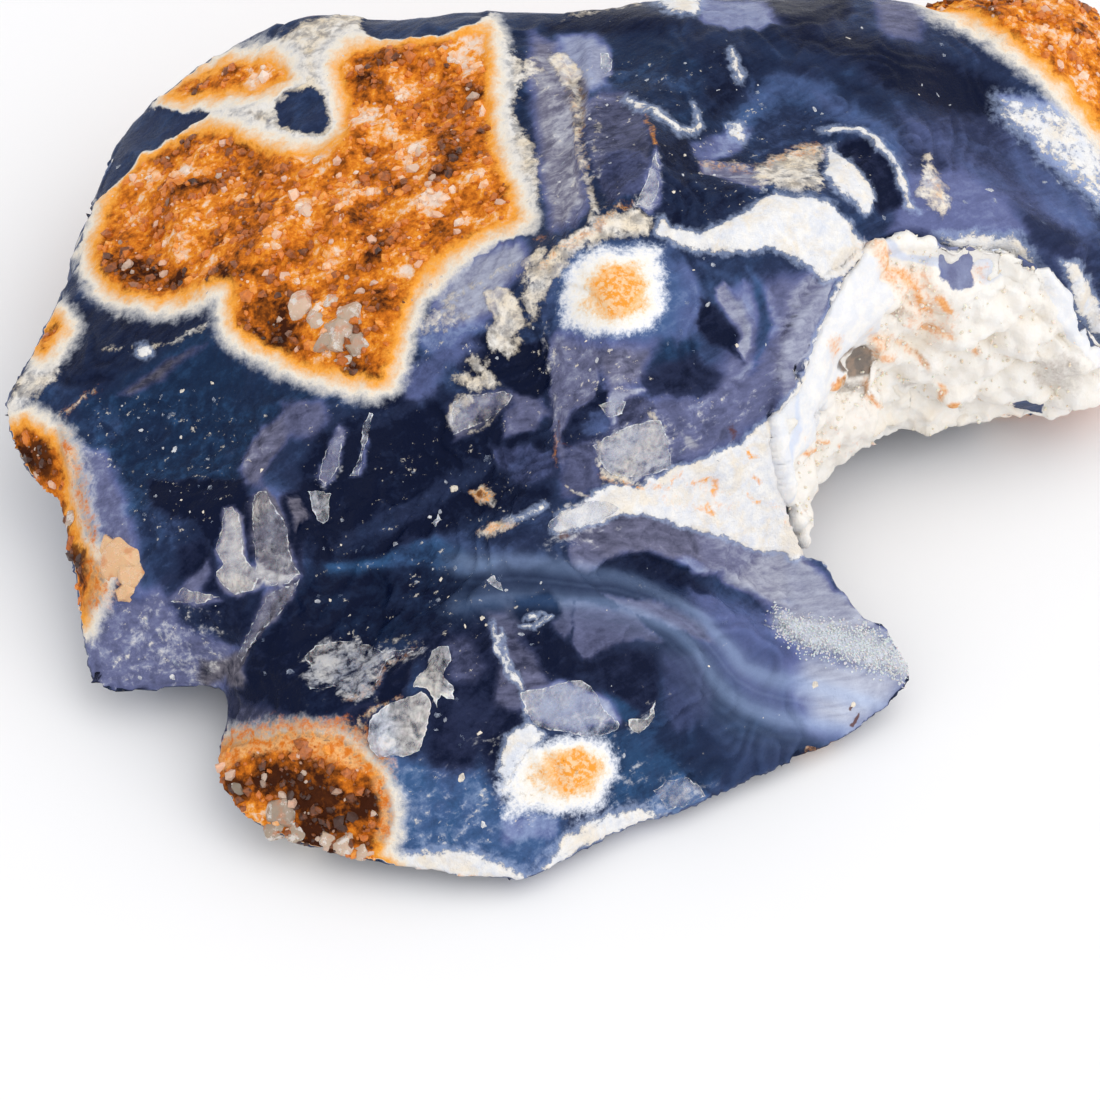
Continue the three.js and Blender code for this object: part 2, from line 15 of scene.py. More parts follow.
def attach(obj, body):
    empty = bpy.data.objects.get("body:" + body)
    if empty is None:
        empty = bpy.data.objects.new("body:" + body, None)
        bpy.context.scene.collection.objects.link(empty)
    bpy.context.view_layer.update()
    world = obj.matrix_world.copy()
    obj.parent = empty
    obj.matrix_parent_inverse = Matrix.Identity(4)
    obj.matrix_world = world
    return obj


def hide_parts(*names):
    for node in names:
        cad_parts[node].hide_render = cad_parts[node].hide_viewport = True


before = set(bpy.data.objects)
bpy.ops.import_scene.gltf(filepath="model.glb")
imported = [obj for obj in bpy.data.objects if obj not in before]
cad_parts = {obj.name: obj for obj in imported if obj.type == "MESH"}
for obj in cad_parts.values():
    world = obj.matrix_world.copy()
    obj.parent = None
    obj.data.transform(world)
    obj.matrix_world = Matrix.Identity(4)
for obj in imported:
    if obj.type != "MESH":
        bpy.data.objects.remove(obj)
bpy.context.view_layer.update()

bl_info = {
    "name": "Blue Lace Agate",
    "version": (1, 0, 0),
    "blender": (4, 5, 0),
    "location": "3D View > Sidebar > Agate",
    "description": "Dresses a rough agate with rind grains, flakes, bands and druse",
    "category": "Add Mesh",
}

MM = 0.001
STONE_NODE = "agate_stone"
CRUST_NODE = "hollow_crust"
BODY = "root"
STONE_SLOT = "agate"
DRUSE_SLOT = "druse"

# The photograph's camera, in the frame's metres: its square picture is PHOTO pixels wide.
PHOTO = 1100.0
LENS_ANGLE = math.radians(16)
CAMERA_HEIGHT_ANGLE = math.radians(50)
AIM = np.array((-0.006481, -0.026455, 0.020))
DISTANCE = 0.3403
FOCAL = PHOTO / 2 / math.tan(LENS_ANGLE / 2)
TO_RIGHT = np.array((1.0, 0.0, 0.0))
AHEAD = np.array((0.0, math.cos(CAMERA_HEIGHT_ANGLE), -math.sin(CAMERA_HEIGHT_ANGLE)))
UPWARD = np.array((0.0, math.sin(CAMERA_HEIGHT_ANGLE), math.cos(CAMERA_HEIGHT_ANGLE)))
EYE = AIM - DISTANCE * AHEAD
PIXELS_PER_MM = 11.5

# Marks are places in the photograph's pixels: a closed area, or a streak of the given half width.
# The amount is how fully it covers, and soft is the width in pixels over which it fades.
Mark = namedtuple("Mark", "amount soft half points")


def area(amount, soft, *points):
    return Mark(amount, soft, 0, points)


def streak(amount, soft, half, *points):
    return Mark(amount, soft, half, points)


# Outlines of the orange rind where it is open to view.
RIND_AREAS = (
    (
        (105, 210), (121, 182), (140, 161), (165, 144), (189, 133), (207, 130), (224, 130), (246, 140),
        (267, 151), (291, 154), (326, 154), (345, 133), (347, 105), (342, 81), (337, 63), (351, 49),
        (386, 44), (421, 40), (452, 35), (473, 32), (486, 33), (488, 70), (488, 105), (491, 140),
        (502, 175), (512, 200), (516, 217), (505, 224), (484, 228), (463, 242), (435, 263), (414, 288),
        (403, 309), (395, 333), (389, 358), (382, 379), (365, 379), (337, 372), (309, 365), (281, 354),
        (260, 344), (242, 333), (233, 319), (231, 302), (235, 288), (228, 281), (210, 281), (196, 288),
        (182, 295), (161, 298), (140, 296), (119, 291), (105, 281), (95, 267), (93, 246), (100, 228),
    ),
    (
        (167, 97), (185, 81), (231, 63), (253, 61), (271, 59), (281, 66), (285, 77), (265, 86), (221, 93),
        (185, 98),
    ),
    (
        (12, 428), (24, 422), (38, 428), (52, 442), (64, 458), (70, 500), (78, 540), (90, 560), (94, 580),
        (88, 600), (82, 622), (72, 600), (64, 555), (56, 510), (28, 482), (8, 446),
    ),
    (
        (212, 762), (228, 745), (263, 742), (300, 738), (335, 742), (358, 760), (375, 778), (384, 805),
        (382, 835), (374, 858), (392, 868), (380, 880), (333, 866), (300, 856), (262, 838), (236, 822),
        (214, 790),
    ),
    (
        (934, -6), (972, 11), (999, 25), (1025, 46), (1049, 68), (1070, 89), (1088, 111), (1110, 140),
        (1180, 180), (1240, 60), (1180, -60), (1000, -60), (920, -40),
    ),
    ((35, 347), (40, 330), (53, 317), (60, 325), (52, 340), (42, 352)),
)

# The rind that the photograph doesn't reach, in the plan's millimetres: along the back and the right end.
HIDDEN_RIND = (
    ((-52, 36), (-44, 37.5), (-32, 40), (-16, 41.5), (4, 41), (22, 43), (30, 51), (-10, 54), (-34, 52)),
    ((28, 38), (37.5, 28.5), (45.5, 17.5), (52, 9), (62, 20), (60, 44), (40, 54), (24, 52)),
)

# How far on both sides of the rind's edge its depth is measured, in millimetres.
RIND_REACH = 9.0

# Facets of broken stone: shade from 0, near black, to 1, pale, and steel from -1, ash grey, over 0, lavender,
# to 1, blue. Soft is the width in pixels over which a facet fades into those before it. The shade is partly
# the stone's own tone and partly painted light: pale lavender-grey facets carry a painted sheen of the light
# that they reflect, and dark facets beside a ridge carry its painted shade.
Facet = namedtuple("Facet", "shade steel soft points")
FACETS = (
    Facet(0.3, 0.6, 30, (
        (0, 300), (300, 390), (540, 250), (560, 470), (470, 560), (220, 700), (60, 700), (0, 500),
    )),
    Facet(0.13, 0.5, 8, (
        (67, 298), (105, 309), (158, 316), (207, 305), (212, 323), (175, 345), (140, 372), (88, 392),
        (60, 380), (53, 344),
    )),
    Facet(0.28, 1.0, 14, (
        (80, 400), (140, 372), (200, 330), (255, 375), (305, 392), (302, 407), (246, 466), (239, 489),
        (151, 489), (133, 530), (95, 520), (78, 450),
    )),
    Facet(0.62, 0.45, 16, ((72, 440), (100, 450), (130, 500), (135, 560), (150, 600), (95, 560), (80, 500))),
    Facet(0.03, 0.3, 5, (
        (147, 484), (190, 480), (240, 484), (250, 500), (246, 520), (215, 522), (175, 516), (152, 500),
    )),
    # Partly painted sheen: the left block's whitish tone stands in part for the light that it reflects.
    Facet(0.55, -0.3, 12, (
        (88, 612), (150, 590), (215, 560), (240, 600), (250, 640), (228, 692), (150, 696), (88, 694),
        (80, 650),
    )),
    Facet(0.22, 0.5, 10, (
        (165, 540), (205, 520), (225, 590), (245, 605), (215, 640), (180, 620), (165, 590),
    )),
    # Partly painted light: this strip on the lit side of the ridge is paler than the stone's own tone.
    Facet(0.5, 0.2, 8, (
        (262, 480), (285, 490), (302, 576), (275, 620), (250, 660), (230, 692), (222, 670), (250, 610),
        (262, 560), (250, 520),
    )),
    Facet(0.08, 0.45, 10, (
        (310, 440), (370, 400), (440, 380), (452, 420), (500, 400), (548, 440), (555, 500), (470, 520),
        (380, 560), (320, 570), (300, 520), (300, 470),
    )),
    Facet(0.05, 0.1, 6, ((455, 345), (485, 335), (520, 350), (540, 372), (530, 405), (505, 385), (470, 372))),
    # Partly painted shade: the dark navy on the ridge's shaded side.
    Facet(0.12, 0.8, 14, (
        (330, 560), (400, 540), (480, 560), (500, 610), (470, 640), (400, 640), (300, 650), (262, 690),
        (240, 690), (250, 640), (290, 590),
    )),
    Facet(0.06, 0.5, 9, (
        (262, 640), (300, 620), (345, 636), (380, 650), (372, 700), (330, 720), (280, 735), (232, 740),
        (228, 700),
    )),
    Facet(0.1, 0.05, 9, (
        (420, 640), (480, 612), (500, 660), (520, 700), (530, 750), (505, 800), (480, 750), (460, 790),
        (430, 760), (430, 700),
    )),
    Facet(0.58, 0.85, 12, (
        (385, 745), (430, 770), (480, 770), (500, 800), (560, 820), (560, 850), (530, 876), (470, 870),
        (400, 862), (386, 820),
    )),
    Facet(0.12, 0.3, 10, (
        (500, 610), (580, 600), (600, 650), (700, 640), (705, 690), (660, 720), (650, 745), (620, 740),
        (600, 700), (560, 680), (520, 690),
    )),
    Facet(0.38, 0.95, 8, (
        (600, 735), (650, 712), (690, 740), (730, 760), (715, 790), (680, 812), (610, 830), (600, 805),
        (620, 780),
    )),
    Facet(0.28, 0.75, 18, (
        (640, 690), (700, 640), (760, 690), (800, 730), (850, 740), (800, 765), (735, 792), (700, 760),
        (655, 730),
    )),
    Facet(0.24, 0.6, 12, (
        (480, 560), (560, 560), (640, 580), (700, 610), (730, 660), (690, 690), (650, 640), (580, 600),
        (480, 600),
    )),
    Facet(0.46, 0.2, 20, (
        (690, 600), (760, 620), (830, 660), (910, 680), (890, 715), (840, 738), (780, 730), (740, 700),
        (700, 650),
    )),
    Facet(0.84, -0.5, 20, (
        (800, 650), (860, 660), (917, 676), (890, 712), (850, 735), (815, 725), (800, 690),
    )),
    Facet(0.4, 0.0, 5, (
        (556, 526), (600, 508), (640, 498), (700, 518), (760, 538), (804, 552), (822, 575), (868, 618),
        (822, 644), (800, 636), (766, 600), (720, 572), (667, 559), (611, 559), (583, 569),
    )),
    Facet(0.56, -0.5, 8, ((740, 560), (800, 566), (868, 618), (822, 640), (790, 610))),
    # Partly painted sheen: these lavender-grey facets are pale in part from the light that they reflect.
    Facet(0.5, -0.3, 12, (
        (560, 340), (640, 340), (700, 300), (800, 270), (850, 270), (815, 335), (790, 400), (735, 445),
        (650, 480), (600, 470), (555, 440),
    )),
    Facet(0.36, 0.6, 12, (
        (560, 330), (640, 325), (670, 280), (720, 290), (735, 340), (700, 390), (640, 400), (580, 380),
    )),
    Facet(0.12, 0.3, 8, ((548, 340), (560, 335), (600, 380), (610, 430), (560, 470), (550, 420))),
    Facet(0.24, 0.8, 16, (
        (498, 30), (560, 10), (650, 20), (720, 60), (740, 110), (700, 200), (660, 230), (600, 230),
        (530, 250), (520, 180), (500, 100),
    )),
    Facet(0.08, 0.4, 12, (
        (655, 140), (700, 130), (745, 130), (745, 160), (720, 190), (690, 225), (660, 215),
    )),
    Facet(0.14, 0.6, 16, (
        (690, 20), (780, 20), (860, 60), (940, 100), (960, 150), (900, 120), (820, 80), (760, 80),
        (720, 120),
    )),
    Facet(0.07, 0.35, 12, ((770, 30), (860, 30), (960, 60), (1010, 90), (1000, 110), (930, 100), (850, 60))),
    Facet(0.3, 0.15, 18, (
        (900, 110), (1000, 110), (1050, 160), (1100, 210), (1100, 300), (1000, 240), (940, 250), (910, 200),
    )),
    Facet(0.1, 0.2, 7, ((835, 150), (870, 140), (895, 170), (905, 205), (880, 200), (850, 170))),
    Facet(0.42, 0.25, 12, (
        (930, 236), (1000, 236), (1060, 260), (1100, 290), (1100, 330), (1040, 280), (960, 268),
    )),
    # the left face
    Facet(0.3, -1, 5, ((118, 392), (150, 372), (176, 357), (205, 344), (192, 354), (162, 378), (132, 393))),
    Facet(0.34, 0.8, 3, ((70, 425), (98, 402), (116, 407), (122, 428), (116, 442), (96, 453), (82, 441))),
    Facet(0.55, -0.3, 8, ((80, 446), (104, 452), (122, 492), (134, 540), (140, 590), (112, 560), (92, 520))),
    Facet(0.0, 0.1, 3, (
        (150, 483), (192, 480), (240, 480), (253, 498), (232, 507), (212, 546), (197, 518), (174, 505),
    )),
    Facet(0.12, 0.1, 5, ((178, 545), (205, 540), (216, 570), (220, 592), (190, 590), (180, 572))),
    Facet(0.13, 0.4, 5, ((214, 598), (262, 590), (256, 622), (246, 648), (222, 640), (205, 615))),
    Facet(0.68, -0.8, 3, (
        (222, 508), (233, 506), (241, 514), (244, 540), (247, 560), (263, 578), (256, 590), (236, 596),
        (222, 588), (216, 575), (223, 566), (213, 550), (222, 534),
    )),
    Facet(0.86, -0.8, 3, ((231, 520), (236, 530), (240, 556), (236, 580), (228, 588), (226, 560))),
    Facet(0.08, -0.3, 2, ((243, 506), (252, 500), (254, 530), (256, 552), (249, 556), (245, 530))),
    Facet(0.46, -0.9, 3, (
        (252, 494), (266, 488), (277, 506), (290, 530), (294, 560), (303, 575), (290, 583), (268, 585),
        (256, 572), (253, 548), (250, 516),
    )),
    Facet(0.8, -0.9, 2, ((252, 556), (262, 566), (284, 572), (301, 575), (288, 583), (268, 586), (257, 578))),
    Facet(0.42, -1, 4, (
        (302, 577), (297, 592), (278, 620), (262, 634), (250, 647), (248, 680), (244, 690), (231, 690),
        (226, 678), (206, 686), (195, 676), (200, 662), (226, 658), (243, 650), (252, 624), (263, 596),
    )),
    Facet(0.62, -0.7, 3, (
        (262, 600), (270, 590), (282, 588), (266, 616), (252, 640), (247, 645), (254, 622),
    )),
    Facet(0.5, -0.4, 4, ((168, 603), (182, 585), (208, 560), (212, 572), (202, 590), (222, 600), (200, 606))),
    # between the rind and the dark middle
    Facet(0.48, -0.6, 4, (
        (244, 486), (241, 470), (250, 446), (268, 424), (290, 408), (304, 412), (286, 440), (268, 462),
        (262, 484),
    )),
    Facet(0.06, -0.4, 4, (
        (277, 500), (300, 488), (316, 512), (302, 540), (303, 572), (294, 552), (286, 522),
    )),
    Facet(0.42, -0.9, 2, ((287, 497), (301, 499), (310, 516), (299, 523), (296, 538), (291, 512))),
    Facet(0.05, 0.5, 6, (
        (345, 440), (400, 420), (450, 430), (452, 470), (400, 490), (350, 516), (318, 545), (330, 500),
    )),
    Facet(0.56, -0.5, 3, (
        (318, 478), (325, 489), (335, 480), (343, 456), (349, 430), (340, 425), (328, 446),
    )),
    Facet(0.62, -0.2, 3, (
        (354, 470), (362, 462), (368, 438), (371, 440), (366, 466), (360, 478), (350, 479),
    )),
    Facet(0.07, 0.3, 4, ((372, 545), (400, 524), (432, 508), (450, 512), (430, 528), (404, 542), (384, 552))),
    Facet(0.42, 1.0, 6, (
        (322, 562), (380, 556), (410, 540), (432, 534), (470, 556), (500, 560), (470, 578), (420, 562),
        (370, 572), (330, 574),
    )),
    Facet(0.36, -0.6, 4, (
        (450, 400), (470, 394), (506, 390), (518, 398), (492, 422), (466, 436), (450, 440), (449, 414),
    )),
    Facet(0.62, -0.5, 3, (
        (452, 402), (476, 396), (500, 393), (480, 410), (464, 428), (453, 434), (450, 416),
    )),
    Facet(0.04, 0.1, 4, (
        (450, 350), (470, 338), (500, 330), (524, 346), (546, 338), (548, 380), (538, 402), (520, 398),
        (504, 382), (480, 372), (456, 366),
    )),
    Facet(0.64, 0.3, 5, (
        (416, 322), (444, 310), (470, 316), (492, 326), (470, 334), (452, 350), (432, 356), (420, 344),
    )),
    Facet(0.5, -0.4, 4, ((508, 392), (540, 398), (548, 412), (530, 430), (500, 436), (506, 414), (514, 404))),
    Facet(0.32, 0.1, 4, ((484, 446), (530, 444), (552, 450), (556, 478), (520, 484), (496, 470))),
    # the lower lobe
    Facet(0.05, 0.2, 5, (
        (262, 640), (300, 612), (312, 630), (300, 650), (306, 668), (296, 690), (250, 700), (252, 660),
    )),
    Facet(0.3, -0.5, 8, ((230, 694), (262, 706), (300, 716), (330, 716), (318, 740), (270, 746), (226, 748))),
    Facet(0.05, -0.2, 3, (
        (384, 655), (400, 654), (412, 652), (426, 651), (414, 663), (408, 678), (398, 697), (375, 705),
        (378, 690), (384, 676),
    )),
    Facet(0.14, -0.2, 4, ((350, 704), (372, 706), (368, 730), (370, 752), (352, 742), (344, 722))),
    Facet(0.16, 0.0, 6, ((436, 745), (450, 700), (500, 700), (505, 735), (480, 740), (462, 760))),
    Facet(0.62, 0.9, 7, ((398, 776), (420, 768), (432, 790), (416, 812), (404, 842), (392, 812))),
    Facet(0.6, 0.9, 5, ((418, 834), (426, 834), (430, 842), (424, 848), (416, 844))),
    Facet(0.6, 0.9, 5, ((464, 832), (474, 832), (476, 842), (468, 848), (462, 842))),
    Facet(0.68, 0.2, 5, ((502, 820), (536, 812), (560, 822), (556, 838), (530, 836), (506, 846))),
    # the dark bowl and its shells
    Facet(0.03, 0.4, 4, ((516, 592), (548, 590), (562, 612), (548, 618), (534, 628), (512, 616), (508, 600))),
    Facet(0.34, -0.4, 3, ((506, 604), (512, 598), (520, 618), (534, 632), (522, 634), (508, 622))),
    Facet(0.36, -0.35, 2, (
        (560, 600), (575, 598), (574, 626), (568, 640), (557, 632), (552, 625), (561, 612),
    )),
    Facet(0.42, -0.35, 2, (
        (578, 598), (602, 606), (632, 612), (650, 630), (664, 642), (640, 640), (612, 646), (593, 658),
        (581, 657), (576, 640), (575, 620),
    )),
    Facet(0.05, 0.3, 5, (
        (528, 638), (556, 636), (576, 646), (580, 660), (600, 662), (590, 672), (556, 676), (532, 682),
        (520, 664),
    )),
    Facet(0.09, 0.15, 3, (
        (600, 660), (640, 650), (656, 664), (656, 700), (646, 714), (630, 716), (612, 698), (598, 680),
    )),
    Facet(0.5, -0.45, 2, (
        (604, 592), (626, 599), (652, 599), (682, 612), (704, 626), (718, 641), (700, 638), (678, 630),
        (650, 619), (626, 609),
    )),
    Facet(0.32, 0.1, 8, ((662, 652), (700, 656), (716, 690), (708, 720), (680, 740), (662, 712))),
    Facet(0.36, 1.0, 3, ((600, 690), (620, 696), (640, 712), (632, 722), (618, 716))),
    Facet(0.42, 1.0, 5, ((626, 740), (656, 728), (658, 752), (684, 764), (660, 784), (634, 796), (612, 786))),
    Facet(0.64, 0.9, 3, (
        (648, 800), (662, 784), (682, 772), (700, 789), (712, 797), (690, 806), (670, 815), (655, 811),
    )),
    Facet(0.24, 0.7, 12, ((660, 740), (700, 730), (740, 752), (730, 782), (700, 784), (676, 764))),
    Facet(0.33, 0.6, 16, (
        (700, 722), (740, 730), (800, 744), (790, 768), (740, 790), (712, 790), (730, 764),
    )),
    # under the tongue and along the wing
    Facet(0.46, -0.6, 3, (
        (560, 530), (584, 512), (612, 500), (640, 504), (700, 518), (744, 534), (720, 566), (704, 574),
        (680, 560), (652, 552), (620, 556), (602, 566), (590, 556),
    )),
    Facet(0.5, -0.5, 2, ((568, 547), (586, 545), (600, 552), (604, 565), (590, 572), (578, 566), (572, 556))),
    Facet(0.66, -0.15, 2, (
        (676, 562), (684, 556), (694, 560), (716, 566), (712, 572), (694, 574), (688, 568),
    )),
    Facet(0.12, 0.4, 3, (
        (600, 566), (624, 557), (648, 554), (672, 562), (692, 578), (716, 592), (680, 584), (640, 574),
    )),
    Facet(0.74, -0.6, 6, (
        (720, 572), (744, 538), (768, 546), (796, 546), (806, 560), (830, 590), (852, 612), (868, 622),
        (836, 628), (800, 616), (776, 604), (752, 592), (730, 582),
    )),
    Facet(0.6, -0.05, 2, ((784, 600), (800, 592), (812, 584), (808, 600), (796, 606))),
    Facet(0.52, 0.2, 9, ((690, 588), (724, 592), (764, 608), (800, 640), (784, 656), (742, 636), (706, 614))),
    Facet(0.88, -0.2, 3, ((792, 556), (800, 562), (804, 578), (796, 574))),
    Facet(0.76, -0.5, 8, (
        (788, 560), (812, 566), (836, 586), (872, 612), (900, 640), (870, 628), (836, 628), (806, 620),
        (786, 600),
    )),
    Facet(0.86, -0.6, 8, (
        (772, 610), (800, 616), (836, 622), (866, 624), (894, 638), (921, 660), (919, 684), (871, 668),
        (836, 656), (800, 645), (780, 630),
    )),
    Facet(0.95, -0.6, 6, (
        (776, 612), (800, 618), (838, 632), (880, 646), (916, 668), (912, 676), (871, 662), (836, 648),
        (800, 636),
    )),
    # the grey shells under the first eye
    Facet(0.55, -0.45, 3, (
        (553, 336), (562, 322), (590, 330), (602, 356), (594, 396), (574, 406), (562, 430), (566, 452),
        (560, 472), (553, 440), (547, 400), (547, 362),
    )),
    Facet(0.32, 1.0, 4, (
        (602, 338), (640, 332), (672, 336), (702, 346), (690, 362), (660, 364), (638, 369), (606, 362),
    )),
    Facet(0.14, 0.15, 8, ((640, 372), (690, 356), (724, 372), (716, 392), (680, 398), (646, 392))),
    Facet(0.56, 0.3, 6, ((662, 258), (690, 262), (704, 290), (700, 332), (680, 344), (660, 330), (668, 292))),
    Facet(0.08, 0.1, 2, (
        (701, 298), (713, 306), (730, 320), (738, 336), (737, 350), (744, 364), (728, 348), (712, 342),
        (699, 332),
    )),
    Facet(0.68, -0.5, 2, (
        (716, 287), (723, 280), (731, 286), (742, 304), (749, 328), (748, 352), (743, 362), (736, 346),
        (739, 326), (726, 313), (716, 300),
    )),
    Facet(0.62, -0.1, 2, ((742, 280), (750, 284), (752, 306), (757, 326), (749, 316), (744, 300))),
    Facet(0.66, -0.5, 4, (
        (798, 280), (815, 271), (836, 270), (829, 300), (815, 336), (808, 362), (800, 390), (786, 400),
        (775, 380), (776, 342), (786, 310),
    )),
    Facet(0.4, 0.8, 4, ((752, 276), (764, 280), (770, 310), (768, 345), (752, 372), (758, 330))),
    Facet(0.34, -0.3, 2, ((618, 400), (640, 397), (659, 408), (641, 422), (620, 426), (611, 414))),
    Facet(0.72, -0.5, 2, (
        (606, 402), (614, 390), (640, 388), (648, 392), (626, 399), (616, 410), (612, 426), (606, 414),
    )),
    Facet(0.44, 0.4, 2, ((580, 427), (590, 410), (605, 408), (609, 424), (613, 432), (596, 439), (582, 436))),
    Facet(0.05, 0.3, 2, ((596, 390), (608, 392), (607, 406), (592, 408))),
    Facet(0.42, -0.3, 5, (
        (566, 446), (590, 440), (600, 474), (618, 482), (590, 492), (566, 500), (560, 476),
    )),
    Facet(0.78, -0.7, 2, ((678, 435), (690, 438), (703, 449), (690, 451), (682, 446))),
    # the ridges and hollows beside the white vein
    Facet(0.62, -0.75, 10, (
        (532, 30), (556, 40), (570, 80), (580, 140), (590, 200), (572, 222), (548, 230), (540, 180),
        (534, 120), (528, 70),
    )),
    Facet(0.72, -0.5, 10, ((432, 300), (452, 268), (480, 248), (520, 238), (528, 262), (504, 286), (492, 316),
                           (460, 324), (436, 320))),
    Facet(0.46, 0.1, 8, ((396, 372), (440, 350), (470, 334), (480, 350), (446, 366), (432, 398), (404, 400))),
    Facet(0.46, -0.4, 7, ((282, 404), (320, 398), (330, 418), (312, 438), (286, 434))),
    Facet(0.5, -0.5, 8, ((872, -4), (925, -4), (922, 36), (884, 34))),
    Facet(0.4, -0.5, 6, ((484, 612), (508, 612), (532, 650), (550, 684), (520, 712), (494, 704), (500, 660))),
    Facet(0.8, -0.3, 5, ((528, 694), (560, 680), (612, 700), (620, 722), (572, 732), (534, 718))),
    Facet(0.74, -0.3, 8, ((556, 30), (602, 30), (608, 84), (566, 90))),
    Facet(0.6, -0.5, 6, ((700, 520), (744, 534), (772, 548), (735, 576), (704, 570))),
    Facet(0.34, -0.3, 7, ((446, 640), (470, 636), (484, 668), (474, 684), (450, 680))),
    Facet(0.5, -0.6, 8, ((596, 330), (640, 326), (664, 336), (650, 360), (640, 384), (612, 392), (598, 370))),
    Facet(0.1, 0.5, 5, (
        (546, 21), (600, 9), (640, 7), (668, 15), (684, 24), (660, 31), (600, 33), (562, 29),
    )),
    Facet(0.66, -0.2, 4, ((700, -6), (766, -6), (786, 22), (760, 29), (716, 27), (700, 18))),
    Facet(0.04, 0.0, 8, ((764, -6), (850, -6), (850, 12), (800, 34), (780, 22))),
    Facet(0.7, -0.4, 3, ((594, 48), (604, 40), (613, 50), (613, 72), (601, 79), (592, 66))),
    Facet(0.5, -1, 4, ((564, 80), (583, 77), (586, 110), (580, 142), (572, 122), (565, 102))),
    Facet(0.72, -0.7, 4, ((552, 116), (570, 107), (577, 130), (572, 149), (560, 146), (551, 131))),
    Facet(0.36, -0.4, 5, (
        (582, 102), (600, 90), (626, 90), (641, 106), (650, 132), (648, 166), (640, 190), (606, 200),
        (598, 180), (588, 150),
    )),
    Facet(0.34, -0.1, 3, ((603, 150), (640, 150), (648, 172), (640, 190), (610, 198), (602, 176))),
    Facet(0.62, -0.3, 4, ((640, 206), (646, 176), (656, 144), (664, 170), (662, 198), (652, 214))),
    Facet(0.46, -0.1, 5, ((692, 140), (730, 128), (752, 128), (742, 150), (716, 160), (700, 160))),
    Facet(0.16, 0.6, 5, ((662, 160), (700, 172), (740, 186), (752, 196), (716, 218), (684, 224), (662, 206))),
    Facet(0.6, -0.6, 4, ((700, 160), (752, 166), (768, 178), (760, 190), (730, 180), (704, 172))),
    # the glow around the first eye
    Facet(0.56, 0.7, 13, ((556, 264), (580, 246), (640, 238), (674, 250), (684, 290), (676, 330), (650, 344),
                          (600, 342), (560, 332), (550, 300))),
    # the far right
    Facet(0.03, 0.1, 10, (
        (858, 60), (900, 55), (960, 70), (1000, 96), (990, 116), (950, 112), (910, 92), (866, 78),
    )),
    Facet(0.8, 0.0, 6, (
        (999, 94), (1044, 100), (1080, 110), (1104, 130), (1104, 204), (1060, 166), (1030, 136),
        (1008, 116),
    )),
    Facet(0.46, 0.3, 8, ((1010, 140), (1040, 160), (1090, 204), (1104, 236), (1060, 220), (1020, 176))),
    Facet(0.56, -0.1, 8, (
        (910, 170), (960, 165), (1010, 200), (1030, 232), (980, 232), (930, 240), (890, 232),
    )),
    Facet(0.1, 0.0, 4, (
        (836, 146), (872, 136), (884, 160), (894, 176), (900, 202), (884, 214), (866, 184), (846, 160),
    )),
    Facet(0.2, 0.2, 5, ((1028, 214), (1060, 226), (1080, 240), (1066, 256), (1040, 244))),
    Facet(0.56, -0.2, 8, ((936, 240), (980, 236), (984, 290), (950, 296), (936, 270))),
)

# Lighter bands, as soft streaks: how much paler, and how far the fade reaches.
BANDS = (
    streak(0.14, 8, 6, (470, 800), (473, 802)),
    streak(0.14, 6, 5, (445, 855), (448, 856)),
    streak(0.12, 9, 8, (520, 840), (524, 842)),
    streak(0.14, 6, 5, (404, 820), (406, 822)),
    streak(0.22, 9, 7, (340, 545), (380, 525), (421, 505), (456, 478), (490, 462)),
    streak(0.14, 8, 5, (372, 424), (410, 405), (452, 382)),
    streak(0.16, 9, 6, (396, 536), (450, 540), (500, 556), (550, 562)),
    streak(0.12, 7, 4, (330, 566), (379, 564), (421, 580)),
    streak(0.1, 7, 4, (320, 600), (370, 590), (420, 606), (470, 600)),
    streak(
        0.26, 14, 10, (717, 157), (740, 122), (775, 82), (800, 84), (839, 107), (870, 118), (888, 135),
        (904, 161),
    ),
    streak(0.16, 10, 6, (708, 32), (760, 48), (820, 64), (856, 73), (895, 98), (913, 121), (931, 150)),
    streak(0.12, 12, 8, (930, 130), (980, 170), (1030, 200), (1090, 230)),
    streak(0.22, 5, 2, (746, 267), (767, 291), (775, 319), (767, 347), (746, 372), (718, 396), (690, 408)),
    streak(0.12, 6, 3, (700, 262), (735, 280), (752, 320), (740, 360), (705, 385)),
    streak(0.14, 10, 6, (575, 110), (640, 70), (700, 90)),
    streak(0.12, 7, 3, (640, 797), (690, 785), (725, 790)),
)

# Two lines of the lace on the wing: all its fine bands run beside and between them.
LACE_UPPER = (
    (440, 560), (478, 561), (520, 559), (569, 566), (611, 573), (646, 583), (678, 601), (703, 618),
    (727, 643), (748, 667), (773, 678), (801, 683), (836, 692), (871, 703), (905, 715), (985, 742),
)
LACE_LOWER = (
    (440, 610), (482, 604), (520, 601), (566, 603), (608, 604), (639, 615), (674, 632), (696, 653),
    (710, 674), (727, 696), (748, 710), (776, 720), (801, 724), (836, 731), (880, 742), (960, 768),
)
LACE_AREA = area(
    1, 24, (452, 548), (560, 556), (640, 572), (690, 592), (740, 620), (790, 646), (850, 662), (912, 684),
    (890, 712), (850, 738), (800, 765), (735, 792), (700, 780), (690, 730), (650, 660), (600, 630),
    (540, 618), (452, 616),
)

# How strongly the lace shows across it: 0 is its upper line and 1 its lower line.
# The ramp starts a margin above the upper line, and spans this many widths.
LACE_MARGIN = 0.5
LACE_SPAN = 2.7
LACE_STOPS = (
    (-0.5, 0.0), (-0.32, 0.1), (-0.2, 0.3), (-0.1, 0.65), (0.0, 0.8), (0.1, 0.72), (0.2, 0.5), (0.3, 0.25),
    (0.38, 0.12), (0.46, 0.26), (0.54, 0.1), (0.64, 0.2), (0.74, 0.35), (0.84, 0.7), (0.96, 0.85),
    (1.06, 0.7), (1.16, 0.4), (1.28, 0.2), (1.4, 0.24), (1.52, 0.12), (1.66, 0.15), (1.8, 0.06),
    (2.0, 0.06), (2.2, 0.0),
)

